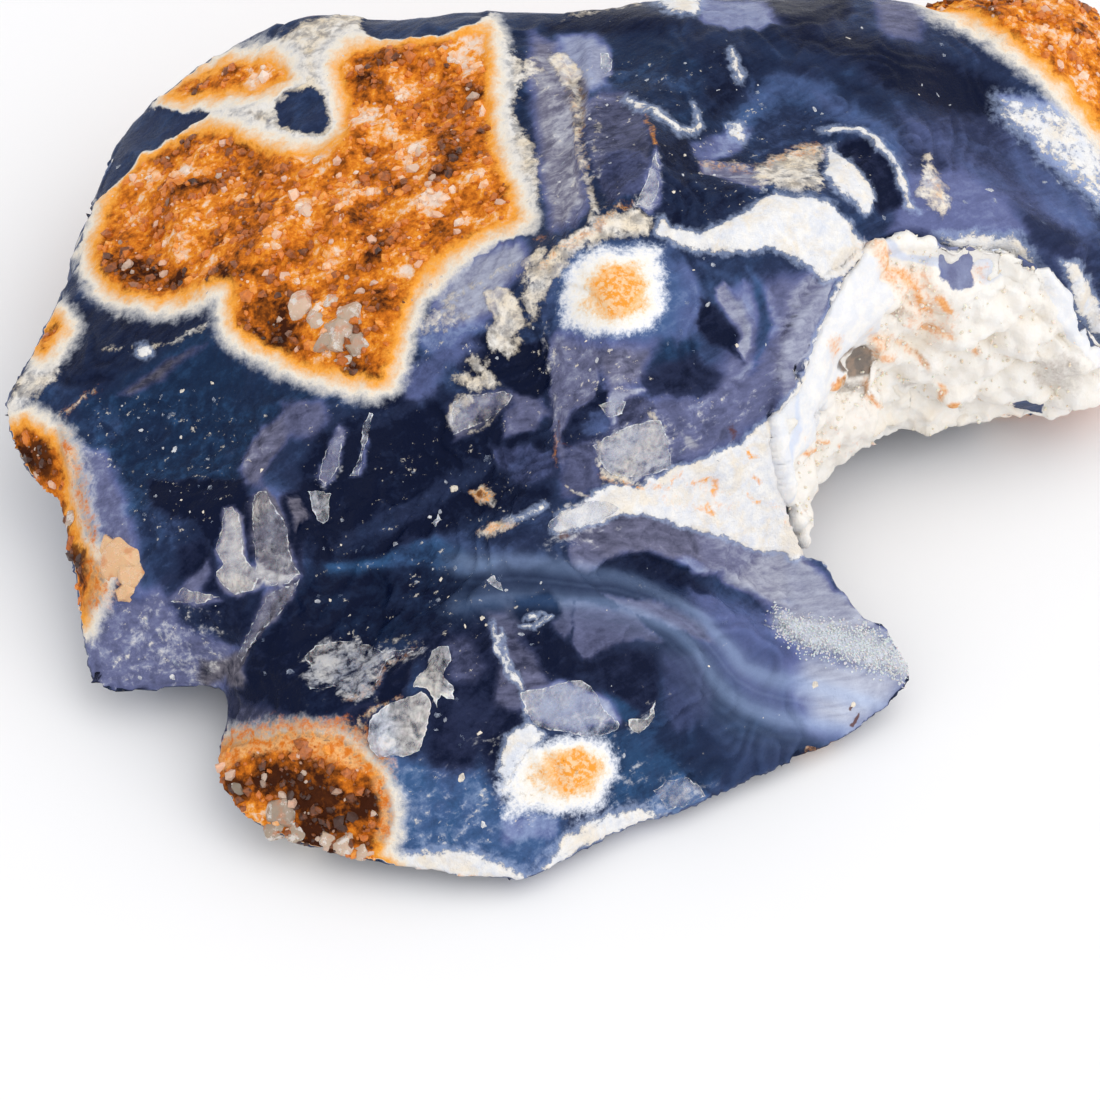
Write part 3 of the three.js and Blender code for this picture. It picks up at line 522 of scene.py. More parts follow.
# What lies on the stone, in pixels. The places named bare stay free of the others and of rind.
MARKS = {
    "white": (
        area(
            1, 4, (552, 530), (562, 515), (590, 499), (611, 485), (639, 487), (660, 476), (702, 458),
            (735, 447), (776, 412), (797, 389), (804, 370), (815, 337), (839, 288), (860, 254), (880, 258),
            (892, 285), (886, 322), (868, 350), (856, 360), (850, 377), (834, 395), (822, 414), (818, 445),
            (806, 475), (800, 510), (804, 545), (797, 562), (787, 554), (759, 551), (724, 538), (688, 527),
            (646, 513), (618, 515), (590, 525), (562, 531),
        ),
        area(
            1, 5, (660, 216), (671, 227), (699, 233), (721, 224), (740, 214), (756, 204), (774, 195),
            (810, 197), (832, 205), (850, 226), (864, 244), (862, 256), (845, 276), (824, 282), (798, 256),
            (774, 248), (739, 251), (712, 250), (685, 245), (667, 238), (656, 230),
        ),
        area(
            1, 5, (829, 146), (838, 153), (856, 169), (870, 187), (875, 201), (864, 214), (855, 205),
            (838, 190), (828, 175),
        ),
        streak(
            0.95, 4, 3, (820, 132), (841, 127), (859, 130), (877, 139), (891, 154), (900, 171), (904, 188),
            (909, 203), (920, 210),
        ),
        area(
            0.9, 8, (385, 862), (421, 852), (456, 849), (491, 858), (533, 876), (520, 892), (440, 892),
            (380, 880),
        ),
        area(
            0.9, 8, (534, 876), (566, 838), (590, 821), (640, 806), (662, 815), (618, 834), (580, 848),
            (545, 880),
        ),
        area(
            0.62, 10, (999, 95), (1049, 104), (1080, 115), (1110, 150), (1110, 215), (1088, 194),
            (1063, 171), (1034, 144), (1010, 128), (997, 115),
        ),
        area(0.8, 6, (640, -6), (655, 0), (674, 14), (697, 14), (704, -6)),
        streak(0.8, 4, 3, (732, 52), (742, 82)),
        streak(
            0.8, 4, 2.5, (626, 96), (637, 107), (653, 111), (671, 120), (681, 129), (694, 129), (701, 123),
            (697, 114), (692, 104),
        ),
        area(0.7, 5, (730, 123), (740, 118), (748, 132), (746, 142), (734, 138)),
        area(
            0.75, 8, (940, 236), (975, 232), (1020, 236), (1045, 280), (1075, 318), (1105, 350),
            (1105, 380), (1060, 330), (1030, 290), (1000, 262), (960, 262),
        ),
        area(0.75, 5, (1060, 262), (1080, 262), (1100, 300), (1110, 345), (1092, 335), (1072, 300)),
        streak(0.95, 3, 1.8, (490, 622), (497, 640), (503, 660), (512, 676), (523, 692)),
        streak(0.85, 3, 1.5, (501, 626), (505, 645), (512, 668), (520, 688)),
        streak(0.8, 3, 1.5, (523, 692), (530, 720), (522, 742), (505, 770), (500, 795)),
        streak(0.9, 2, 1.6, (520, 624), (533, 626), (553, 618)),
        streak(0.9, 2, 1.6, (526, 618), (545, 614)),
        streak(0.85, 4, 2, (502, 520), (520, 516), (550, 503)),
        area(0.8, 4, (503, 742), (530, 722), (545, 735), (520, 760), (505, 790), (497, 770)),
        area(0.9, 4, (137, 346), (147, 345), (150, 352), (143, 357), (136, 353)),
        streak(0.7, 3, 1.6, (560, 752), (570, 770), (585, 776)),
    ),
    "cream": (
        area(
            1, 5, (140, 118), (165, 96), (185, 104), (221, 97), (265, 91), (292, 80), (284, 64), (255, 57),
            (262, 45), (300, 25), (345, 12), (372, 12), (360, 26), (382, 38), (345, 50), (334, 62),
            (344, 105), (343, 132), (325, 154), (291, 154), (265, 150), (224, 129), (189, 132), (165, 143),
            (125, 172), (104, 205), (95, 205), (120, 165), (160, 137), (203, 118), (205, 112), (185, 110),
            (160, 108),
        ),
        area(0.95, 6, (380, 38), (440, 34), (476, 22), (492, 12), (500, 30), (488, 36), (450, 36), (400, 42)),
        area(
            0.95, 7, (486, 31), (500, 31), (528, 74), (512, 109), (530, 136), (539, 163), (539, 199),
            (525, 216), (513, 224), (518, 210), (500, 172), (490, 140), (486, 90),
        ),
        area(
            0.8, 6, (445, 379), (459, 368), (474, 372), (466, 358), (481, 352), (498, 380), (503, 388),
            (466, 391),
        ),
        area(0.85, 5, (484, 322), (500, 318), (525, 344), (505, 358), (488, 345)),
        area(0.9, 4, (483, 290), (500, 284), (520, 296), (524, 330), (508, 345), (494, 325)),
        streak(0.75, 5, 3, (440, 300), (470, 285), (500, 268), (530, 255)),
        area(0.6, 8, (420, 310), (450, 300), (470, 318), (440, 340), (410, 335)),
        area(1.0, 5, (552, 56), (560, 50), (572, 56), (580, 72), (578, 96), (570, 92), (560, 84), (553, 72)),
        streak(0.8, 5, 4, (574, 90), (579, 130), (585, 178)),
        area(0.8, 6, (520, 62), (536, 58), (546, 72), (534, 82), (522, 76)),
        streak(0.8, 5, 4, (583, 161), (592, 195), (594, 223)),
        streak(0.8, 5, 5, (554, 52), (566, 66), (577, 82)),
        streak(0.6, 5, 3, (600, 80), (598, 120), (590, 160)),
        streak(0.9, 3, 1.6, (53, 421), (70, 407), (84, 393), (98, 386)),
        streak(0.9, 3, 1.6, (102, 351), (140, 347), (175, 344), (198, 326)),
        streak(0.7, 4, 2.5, (180, 338), (200, 330), (212, 318)),
        area(
            0.85, 7, (755, 163), (774, 153), (796, 145), (822, 143), (829, 154), (818, 170), (825, 180),
            (821, 191), (792, 194), (771, 187), (753, 186),
        ),
        streak(0.75, 5, 3, (699, 161), (730, 164), (756, 170)),
        area(
            0.85, 6, (927, 152), (936, 161), (945, 179), (953, 197), (945, 216), (927, 204), (917, 191),
            (920, 173),
        ),
        area(0.9, 7, (560, 5), (590, -6), (650, -8), (640, 6), (600, 10), (565, 14)),
        area(0.95, 5, (452, 400), (466, 392), (475, 398), (462, 410), (455, 432), (448, 430), (449, 414)),
        streak(0.7, 4, 2, (452, 436), (480, 428), (510, 402)),
        area(0.85, 5, (474, 534), (488, 520), (505, 518), (522, 523), (493, 535), (484, 539)),
        area(0.85, 4, (467, 489), (480, 484), (496, 492), (493, 503), (478, 504)),
        area(
            0.8, 5, (528, 270), (560, 240), (596, 212), (632, 208), (660, 214), (650, 235), (606, 240),
            (575, 255), (550, 290), (535, 292),
        ),
        area(0.75, 8, (520, 245), (545, 240), (558, 262), (545, 300), (528, 330), (520, 300)),
        streak(0.8, 3, 2, (565, 485), (590, 500), (556, 512)),
        area(0.6, 7, (600, 205), (620, 200), (628, 215), (600, 225)),
        area(
            0.8, 5, (45, 335), (62, 322), (66, 350), (60, 372), (44, 392), (30, 402), (20, 420), (6, 430),
            (2, 410), (22, 370),
        ),
        area(
            0.85, 6, (62, 440), (76, 452), (80, 500), (92, 540), (108, 548), (100, 566), (84, 545),
            (70, 500),
        ),
        area(0.6, 6, (85, 605), (98, 600), (110, 618), (92, 640), (82, 660), (80, 630)),
        streak(0.65, 5, 3, (372, 648), (400, 640), (424, 645)),
        streak(0.8, 5, 3, (366, 741), (360, 724), (382, 706), (400, 698)),
        area(0.9, 4, (848, 275), (862, 240), (872, 240), (878, 262), (864, 270)),
        streak(0.75, 3, 2, (640, 404), (655, 418), (668, 430)),
        area(
            0.75, 5, (590, 447), (602, 440), (606, 470), (640, 480), (674, 470), (676, 478), (636, 488),
            (604, 482),
        ),
    ),
    "frost": (
        area(0.4, 16, (486, 736), (560, 732), (624, 742), (646, 776), (604, 818), (520, 824), (482, 800)),
        area(0.25, 16, (400, 770), (480, 770), (500, 860), (410, 850)),
        area(0.3, 14, (666, 412), (720, 396), (770, 380), (780, 400), (750, 426), (700, 450), (676, 462)),
        area(
            0.8, 5, (590, 445), (620, 428), (659, 417), (667, 428), (674, 456), (673, 470), (634, 480),
            (610, 478), (596, 459),
        ),
        area(0.4, 14, (95, 620), (150, 600), (210, 610), (225, 650), (215, 690), (100, 692)),
        area(
            0.7, 5, (302, 657), (316, 643), (351, 639), (386, 650), (424, 646), (421, 655), (389, 662),
            (382, 676), (372, 699), (347, 699), (337, 688), (309, 692), (305, 674), (309, 667),
        ),
        area(0.6, 3, (625, 720), (646, 717), (653, 699), (657, 717), (650, 727), (639, 736), (629, 731)),
        streak(0.5, 3, 2, (316, 481), (326, 488), (340, 467), (344, 435)),
        area(0.6, 4, (632, 209), (640, 190), (650, 160), (657, 145), (663, 170), (661, 196), (652, 213)),
        area(0.35, 14, (545, 85), (600, 100), (600, 210), (560, 200)),
        area(0.5, 8, (540, 540), (556, 525), (600, 518), (615, 528), (590, 545), (566, 556)),
        area(0.5, 9, (636, 800), (660, 780), (690, 772), (715, 795), (680, 815), (650, 822)),
        streak(0.5, 4, 2.5, (546, 332), (548, 370), (551, 410), (557, 466)),
    ),
    "rust": (
        streak(0.55, 8, 5, (538, 268), (560, 250), (592, 229), (612, 209), (634, 205)),
        streak(0.75, 3, 2, (646, 116), (653, 132), (655, 146)),
        streak(0.35, 8, 5, (560, 60), (575, 110), (588, 175)),
        area(0.5, 7, (753, 165), (790, 145), (824, 141), (828, 156), (790, 158), (766, 172)),
        streak(0.5, 5, 3, (699, 161), (756, 170)),
        area(0.45, 8, (930, 165), (944, 180), (946, 205), (934, 200)),
        streak(0.55, 5, 3, (60, 415), (80, 396), (98, 386)),
        streak(0.45, 5, 3, (56, 425), (70, 440), (80, 470)),
        area(0.6, 5, (45, 335), (55, 322), (60, 332), (48, 352), (38, 362)),
        area(0.6, 6, (90, 546), (120, 540), (125, 575), (110, 610), (92, 600), (88, 570)),
        area(0.55, 5, (474, 534), (488, 520), (505, 519), (519, 524), (491, 534)),
        area(0.8, 4, (468, 488), (482, 486), (494, 494), (488, 502), (474, 500)),
        area(
            0.55, 8, (210, 742), (260, 732), (330, 722), (360, 744), (384, 770), (396, 800), (384, 800),
            (360, 765), (300, 742), (230, 748),
        ),
        streak(0.5, 5, 3, (367, 735), (362, 722), (384, 704), (404, 696)),
        streak(0.45, 6, 3, (344, 700), (370, 690), (384, 664), (420, 646)),
        streak(0.7, 4, 3, (392, 868), (430, 875), (470, 879), (500, 879)),
        area(0.3, 10, (684, 474), (716, 468), (728, 490), (714, 502), (690, 496)),
        streak(1.0, 2, 2, (700, 482), (708, 478), (716, 482), (719, 490), (714, 499)),
        streak(0.8, 2, 1.5, (687, 483), (694, 482), (700, 487), (706, 489)),
        streak(1.0, 2, 2, (706, 505), (708, 511), (714, 515)),
        streak(0.7, 3, 2, (696, 505), (702, 509), (709, 513)),
        area(0.3, 12, (655, 488), (690, 490), (706, 506), (690, 518), (662, 512)),
        area(0.35, 12, (700, 500), (740, 498), (736, 516), (706, 518)),
        streak(0.7, 3, 2, (600, 474), (612, 480), (640, 486), (668, 486), (674, 476), (680, 474)),
        streak(0.9, 2, 2, (748, 449), (750, 456), (760, 455)),
        streak(0.9, 2, 2, (749, 474), (755, 478), (761, 484)),
        streak(0.8, 2, 2, (746, 492), (752, 498), (760, 502)),
        streak(0.4, 5, 3, (760, 500), (780, 510), (792, 530)),
        streak(0.5, 3, 2, (588, 496), (592, 497)),
        streak(0.4, 6, 4, (846, 262), (866, 242), (876, 256)),
        streak(0.5, 5, 3, (500, 250), (520, 243), (545, 235)),
        streak(0.6, 3, 1.5, (553, 430), (554, 465)),
    ),
    "speck": (
        area(1.35, 10, (524, 336), (600, 332), (640, 350), (640, 400), (560, 410), (530, 380)),
        area(1.25, 12, (385, 540), (440, 535), (480, 600), (450, 650), (410, 620)),
        area(1, 14, (80, 400), (300, 390), (250, 480), (240, 530), (90, 560)),
        area(1.0, 12, (90, 600), (220, 600), (220, 692), (88, 692)),
        area(0.7, 20, (300, 400), (560, 380), (560, 700), (260, 700)),
        area(0.9, 14, (385, 745), (520, 770), (620, 740), (650, 800), (540, 876), (390, 862)),
        area(0.9, 14, (400, 300), (540, 260), (550, 330), (480, 380), (400, 380)),
        area(0.8, 20, (500, 40), (740, 60), (900, 180), (700, 230), (540, 260)),
        area(0.8, 14, (560, 330), (740, 400), (680, 480), (560, 470)),
        area(0.3, 20, (640, 560), (900, 690), (700, 780), (500, 640)),
    ),
    "bare": (
        area(
            1, 4, (156, 107), (142, 115), (119, 134), (106, 152), (103, 168), (94, 191), (96, 200),
            (106, 191), (131, 163), (149, 149), (167, 136), (189, 125), (203, 116), (205, 113), (185, 115),
            (174, 111),
        ),
        area(
            1, 6, (276, 102), (292, 92), (310, 87), (326, 100), (330, 122), (318, 134), (296, 134),
            (280, 126),
        ),
        area(
            1, 4, (361, 25), (375, 12), (395, 2), (440, 3), (475, 5), (490, 12), (475, 22), (440, 33),
            (400, 36), (375, 34),
        ),
        area(
            1, 4, (532, 241), (521, 236), (493, 249), (475, 259), (471, 270), (479, 277), (496, 266),
            (523, 257), (532, 250),
        ),
    ),
    "soil": (
        streak(1.2, 1.5, 1.5, (849, 710), (854, 703)),
        streak(1.2, 1.5, 1.8, (851, 726), (856, 720), (861, 713)),
        area(0.8, 5, (726, 428), (736, 424), (742, 434), (732, 440)),
        streak(0.7, 3, 2, (556, 420), (560, 440), (572, 446)),
        area(0.8, 3, (469, 490), (480, 488), (492, 496), (482, 500)),
        area(0.7, 4, (556, 532), (566, 530), (570, 538), (560, 542)),
        streak(0.6, 4, 3, (578, 78), (580, 100), (582, 128), (584, 150)),
        # Painted shade: these two patches darken the left rim's underside towards earth brown.
        area(0.9, 6, (28, 440), (44, 440), (54, 462), (50, 480), (34, 470)),
        area(0.9, 6, (66, 545), (80, 540), (88, 556), (84, 580), (72, 572)),
        area(0.5, 9, (262, 770), (290, 760), (330, 780), (338, 812), (300, 826), (270, 800)),
        area(0.9, 6, (224, 778), (240, 776), (246, 796), (232, 800)),
        area(0.6, 8, (250, 306), (270, 300), (282, 322), (262, 332)),
    ),
    "ember": (
        area(
            1, 8, (217, 759), (240, 742), (300, 732), (340, 736), (360, 758), (378, 775), (350, 770),
            (300, 752), (250, 756), (226, 775),
        ),
        streak(1, 8, 6, (376, 780), (385, 810), (382, 840)),
        streak(0.7, 10, 8, (216, 752), (240, 732), (300, 723), (345, 727), (376, 748), (392, 776)),
        streak(0.8, 8, 6, (92, 560), (100, 590), (90, 610)),
        streak(0.7, 9, 6, (60, 432), (76, 466), (84, 506), (94, 545)),
    ),
}

# How far crisp facets stand up or sink, and the angle that shuffles which do.
FACET_LIFT = 0.2 * MM
FACET_TURN = 2.4

# How far the rind at the photograph's upper right corner is drawn up, and where it starts and is full:
# in pixels across and down, and in height.
CORNER_RISE = 5 * MM
CORNER_ACROSS = (950, 1100)
CORNER_DOWN = (190, 40)
CORNER_HEIGHT = (2 * MM, 12 * MM)

# The two eyes, in pixels: the outline of the white ring and the outline of the amber core.
EYES = (
    (
        (
            (568, 272), (580, 256), (600, 248), (622, 252), (640, 246), (658, 250), (662, 279), (662, 308),
            (650, 326), (622, 332), (588, 330), (566, 322), (562, 300),
        ),
        ((598, 300), (600, 282), (612, 267), (628, 270), (640, 288), (638, 304), (622, 312), (604, 313)),
    ),
    (
        (
            (508, 776), (512, 760), (522, 750), (542, 748), (560, 742), (586, 740), (604, 744), (612, 758),
            (616, 773), (608, 788), (600, 802), (580, 810), (555, 811), (528, 808), (508, 816), (512, 796),
            (502, 786),
        ),
        ((552, 766), (562, 754), (582, 752), (596, 764), (594, 780), (576, 788), (558, 784)),
    ),
)

# Where the crust's edge lies on the solid, in pixels, and how far the stone's skin reaches over it.
LEDGE = (
    ((870, 246), 0), ((836, 272), 13), ((812, 296), 27), ((798, 320), 28), ((786, 345), 29), ((778, 365), 30),
    ((777, 390), 22), ((773, 416), 3), ((776, 440), 0),
)

# How much wider each kind of mark fades than its table says.
SPREADS = {"white": 1.7, "cream": 1.7, "frost": 2.4, "rust": 1.6, "speck": 1.2, "soil": 1.2, "ember": 1.0}

# Marks on the sides that the photograph doesn't show: size in millimetres, seed, share and strength.
HIDDEN_MARKS = {
    "white": (9, 51, 0.0, 0.9), "cream": (11, 55, 0.08, 1.0), "frost": (7, 59, 0.1, 0.8),
    "rust": (6, 63, 0.0, 0.7), "soil": (5, 67, -0.2, 1.0),
}
HIDDEN_SPECK = 0.6

# Loose pale chips on the seen side: middle and radius, in pixels.
FLECKS = (
    (100, 427, 6), (168, 334, 4), (212, 383, 4), (182, 391, 5), (161, 397, 4), (214, 400, 6), (205, 433, 6),
    (181, 437, 4), (174, 450, 6), (208, 459, 6), (163, 448, 3), (110, 465, 3), (155, 479, 4), (194, 390, 4),
    (122, 406, 3), (139, 418, 4), (163, 415, 4), (270, 451, 4), (262, 470, 4), (147, 490, 4), (155, 496, 4),
    (170, 491, 4), (181, 500, 3), (190, 492, 3), (210, 488, 5), (216, 499, 3), (203, 512, 3), (190, 512, 3),
    (130, 510, 4), (324, 548, 6), (342, 520, 5), (340, 596, 6), (330, 600, 5), (263, 640, 5), (265, 674, 5),
    (290, 672, 5), (215, 641, 7), (210, 648, 5), (175, 662, 6), (172, 677, 6), (140, 678, 5), (146, 620, 5),
    (160, 634, 6), (345, 667, 5), (446, 482, 4), (341, 545, 4), (363, 547, 4), (339, 568, 3), (358, 565, 4),
    (356, 551, 4), (416, 582, 4), (441, 579, 5), (438, 600, 6), (434, 605, 4), (459, 592, 4), (455, 568, 5),
    (446, 570, 4), (448, 597, 3), (412, 560, 3), (433, 569, 3), (471, 575, 5), (480, 600, 4), (465, 626, 5),
    (482, 618, 6), (486, 625, 4), (500, 578, 6), (506, 590, 4), (541, 583, 3), (446, 690, 5), (436, 684, 6),
    (452, 690, 6), (457, 700, 5), (438, 715, 6), (445, 720, 6), (436, 730, 5), (463, 738, 5), (460, 745, 4),
    (480, 733, 6), (473, 745, 4), (485, 805, 5), (483, 825, 6), (440, 822, 3), (447, 818, 3), (713, 265, 7),
    (704, 258, 4), (694, 270, 3), (687, 303, 6), (708, 305, 5), (681, 331, 5), (668, 344, 5), (735, 335, 4),
    (737, 345, 4), (747, 329, 3), (766, 345, 3), (774, 307, 3), (772, 325, 3), (776, 384, 6), (767, 375, 4),
    (786, 400, 3), (763, 408, 5), (765, 420, 4), (693, 352, 3), (620, 385, 4), (640, 372, 4), (586, 341, 4),
    (566, 383, 4), (576, 390, 4), (590, 370, 5), (597, 360, 5), (647, 80, 5), (636, 76, 4), (660, 90, 4),
    (662, 57, 3), (685, 63, 3), (715, 52, 3), (718, 90, 4), (742, 96, 4), (750, 102, 4), (758, 85, 3),
    (735, 125, 5), (738, 133, 5), (683, 175, 5), (714, 175, 4), (610, 163, 4), (607, 105, 4), (612, 108, 4),
    (633, 115, 4), (685, 155, 4), (607, 137, 3), (680, 195, 3), (750, 185, 3), (568, 222, 4), (572, 225, 4),
    (559, 182, 5), (555, 158, 6), (563, 163, 5), (862, 28, 6), (848, 38, 6), (942, 45, 6), (944, 55, 4),
    (935, 68, 5), (922, 85, 4), (938, 95, 5), (950, 105, 4), (985, 112, 6), (815, 110, 6), (822, 114, 5),
    (847, 112, 3), (965, 202, 5), (990, 190, 7), (995, 200, 5), (884, 218, 5), (1043, 222, 7),
    (1030, 205, 5), (1045, 182, 5), (1058, 182, 5), (910, 165, 5), (497, 358, 4), (418, 365, 4),
    (452, 325, 4), (533, 328, 5), (445, 305, 4), (430, 285, 4), (658, 648, 4), (624, 756, 5), (430, 517, 5),
    (440, 512, 5),
)

# Lighter and darker spots of the rind's grains: how much lighter, the middle, and the radius in pixels.
# The dark spots on the left rim, left of a hundred pixels across, are painted shade of its underside.
GRAIN_SPOTS = (
    (0.3, (318, 165), 24), (0.32, (310, 208), 18), (0.32, (415, 165), 20), (0.3, (410, 92), 20),
    (0.35, (385, 125), 16), (0.12, (190, 240), 20), (0.3, (350, 55), 14), (0.15, (145, 238), 18),
    (0.2, (235, 228), 18), (0.2, (340, 250), 22), (-0.3, (385, 170), 22), (-0.4, (262, 315), 22),
    (-0.4, (298, 345), 16), (-0.35, (232, 255), 18), (-0.4, (125, 260), 22), (-0.3, (455, 170), 20),
    (0.2, (460, 60), 24), (0.35, (345, 185), 26), (-0.3, (160, 280), 20), (-0.3, (310, 785), 26),
    (-0.5, (370, 800), 14), (-0.6, (236, 788), 12), (-0.2, (282, 770), 12), (-0.6, (40, 455), 26),
    (-0.5, (60, 510), 18), (-0.6, (76, 560), 20), (-0.3, (82, 600), 14), (-0.3, (290, 800), 46),
    (-0.35, (350, 810), 26), (-0.3, (250, 770), 20), (-0.45, (325, 850), 34), (-0.4, (345, 780), 26),
    (0.3, (430, 195), 16), (0.25, (285, 270), 18), (0.1, (1050, 40), 40),
)

# Small steps of the break: the height in millimetres and the fall in pixels, raised on the walker's left.
STEPS = (
    (0.55, 26, (
        (548, 536), (569, 550), (583, 569), (597, 571), (611, 559), (639, 553), (667, 559), (692, 573),
        (720, 573), (741, 583), (766, 601), (780, 618), (801, 639), (822, 646),
    )),
    (0.3, 16, ((576, 658), (590, 657), (604, 646), (625, 639), (632, 625), (660, 639), (676, 648))),
    (0.25, 14, ((604, 590), (632, 594), (667, 604), (696, 622), (717, 641))),
    (0.35, 14, ((725, 284), (739, 297), (746, 326), (744, 353))),
    (0.4, 18, ((242, 486), (248, 466), (276, 436), (304, 408), (312, 396))),
    (0.4, 16, ((301, 576), (280, 605), (256, 645), (230, 690))),
    (0.35, 18, ((596, 225), (586, 180), (580, 130), (572, 90), (560, 52))),
    (0.35, 14, ((919, 210), (904, 190), (896, 160), (877, 140), (850, 129), (820, 133))),
    (0.3, 14, ((300, 470), (330, 500), (322, 530), (330, 560))),
    (0.25, 12, ((340, 540), (380, 520), (421, 500), (456, 470), (500, 440))),
    (0.3, 12, ((372, 424), (410, 400), (452, 380), (500, 352))),
    (0.3, 14, ((560, 465), (590, 440), (640, 410), (700, 400), (745, 375), (770, 340))),
    (0.35, 12, ((523, 692), (514, 676), (503, 655), (492, 622))),
    (0.3, 14, ((650, 745), (668, 720), (700, 700), (705, 660), (690, 635))),
    (0.3, 12, ((655, 800), (690, 770), (715, 795))),
    (0.3, 16, ((700, 205), (760, 190), (820, 196), (860, 214))),
    (0.25, 14, ((690, 130), (720, 100), (760, 80), (800, 84), (860, 110))),
    (0.3, 14, ((100, 448), (140, 486), (190, 480), (244, 484))),
    (0.25, 10, ((88, 618), (140, 596), (200, 604), (228, 640))),
)

# Thin plates still stuck to the stone: lift, whiteness and outline in pixels. A plate's edge stands off by a
# fifth of its lift in millimetres, and its middle by three fifths.
Flake = namedtuple("Flake", "lift white points")
FLAKES = (
    Flake(0.5, 0.5, (
        (222, 506), (233, 505), (241, 514), (245, 540), (248, 560), (262, 578), (254, 592), (236, 598),
        (222, 588), (214, 574), (222, 564), (213, 550), (220, 530),
    )),
    Flake(0.45, 0.3, (
        (252, 494), (266, 488), (277, 506), (290, 530), (294, 560), (303, 575), (288, 586), (268, 587),
        (256, 574), (253, 548), (250, 516),
    )),
    Flake(0.4, 0.25, (
        (302, 577), (297, 592), (278, 620), (262, 634), (250, 650), (243, 664), (236, 656), (243, 640),
        (254, 618), (266, 594),
    )),
    Flake(0.35, 0.3, ((168, 603), (182, 585), (196, 590), (222, 596), (204, 606))),
    Flake(0.4, 0.2, (
        (316, 481), (321, 462), (323, 452), (333, 435), (344, 435), (341, 467), (334, 478), (326, 488),
    )),
    Flake(0.35, 0.35, (
        (368, 410), (375, 414), (370, 436), (365, 452), (361, 477), (347, 477), (351, 470), (358, 456),
        (361, 424),
    )),
    Flake(0.45, 0.6, ((305, 491), (318, 488), (333, 491), (330, 523), (323, 526), (316, 523), (309, 502))),
    Flake(0.35, 0.3, (
        (452, 400), (466, 393), (505, 389), (516, 396), (506, 408), (491, 421), (470, 430), (452, 438),
        (449, 414),
    )),
    Flake(0.3, 0.7, ((428, 524), (438, 511), (445, 520), (435, 529))),
    Flake(0.3, 0.75, ((484, 580), (495, 573), (505, 587), (505, 594), (491, 588))),
    Flake(0.35, 0.08, (
        (302, 657), (316, 643), (334, 640), (351, 639), (370, 644), (386, 650), (404, 648), (424, 646),
        (421, 653), (389, 660), (382, 674), (378, 690), (372, 699), (358, 702), (347, 699), (337, 688),
        (324, 690), (309, 692), (305, 684), (312, 672),
    )),
    Flake(0.9, 0.8, (
        (368, 720), (374, 712), (382, 706), (394, 700), (407, 695), (418, 690), (428, 692), (433, 704),
        (431, 717), (427, 736), (421, 752), (412, 757), (403, 759), (390, 757), (379, 759), (370, 752),
        (366, 741),
    )),
    Flake(0.4, 0.7, (
        (431, 650), (443, 643), (452, 645), (453, 660), (444, 674), (456, 688), (456, 702), (446, 700),
        (442, 695), (438, 710), (431, 702), (426, 690), (410, 688), (414, 676), (424, 668),
    )),
    Flake(0.5, 0.5, (
        (517, 692), (532, 688), (548, 685), (573, 678), (583, 678), (590, 684), (597, 692), (604, 706),
        (614, 716), (622, 724), (618, 731), (601, 738), (584, 738), (566, 734), (550, 732), (534, 727),
        (524, 712),
    )),
    Flake(0.35, 0.5, (
        (625, 720), (634, 716), (646, 717), (650, 706), (655, 697), (657, 717), (650, 727), (639, 736),
        (629, 731),
    )),
    Flake(0.35, 0.55, (
        (590, 445), (604, 436), (620, 428), (640, 421), (659, 417), (666, 428), (670, 442), (673, 456),
        (673, 470), (654, 476), (634, 479), (610, 477), (602, 468), (596, 459),
    )),
    Flake(0.5, 0.4, (
        (545, 526), (555, 513), (572, 504), (592, 498), (608, 500), (622, 508), (612, 518), (597, 524),
        (580, 530), (566, 536), (552, 536),
    )),
    Flake(0.3, 0.4, ((596, 404), (612, 396), (628, 400), (624, 416), (606, 420))),
    Flake(0.3, 0.45, ((633, 206), (640, 190), (650, 162), (656, 147), (661, 170), (659, 194), (650, 210))),
    Flake(0.3, 0.55, ((598, 52), (606, 50), (614, 58), (613, 72), (604, 76), (597, 66))),
    Flake(0.3, 0.3, ((650, 790), (668, 778), (684, 774), (700, 784), (708, 796), (690, 806), (668, 812))),
)

# Chunks of quartz in the rind: middle in pixels, radius in millimetres and tint, from 0, grey, to 1, honey,
# and golden above that.
CHUNKS = (
    ((338, 330), 2.0, 0.45), ((352, 312), 1.6, 0.5), ((322, 345), 1.5, 0.35), ((360, 345), 1.7, 0.3),
    ((300, 305), 1.9, 0.75), ((315, 318), 1.2, 0.6), ((345, 360), 1.3, 0.5), ((330, 300), 1.2, 0.7),
    ((284, 815), 1.9, 0.15), ((274, 828), 1.4, 0.2), ((296, 832), 1.2, 0.25), ((118, 560), 2.3, 1.3),
    ((132, 572), 1.8, 1.25), ((108, 545), 1.5, 1.3), ((124, 592), 1.3, 1.3), ((236, 788), 1.1, 0.02),
    ((420, 150), 0.9, 0.9), ((412, 168), 0.9, 0.95), ((318, 160), 1.0, 0.95), ((306, 210), 1.0, 0.95),
    ((345, 845), 1.5, 0.6), ((362, 852), 1.2, 0.6), ((325, 838), 1.2, 0.5), ((70, 520), 1.2, 0.5),
)
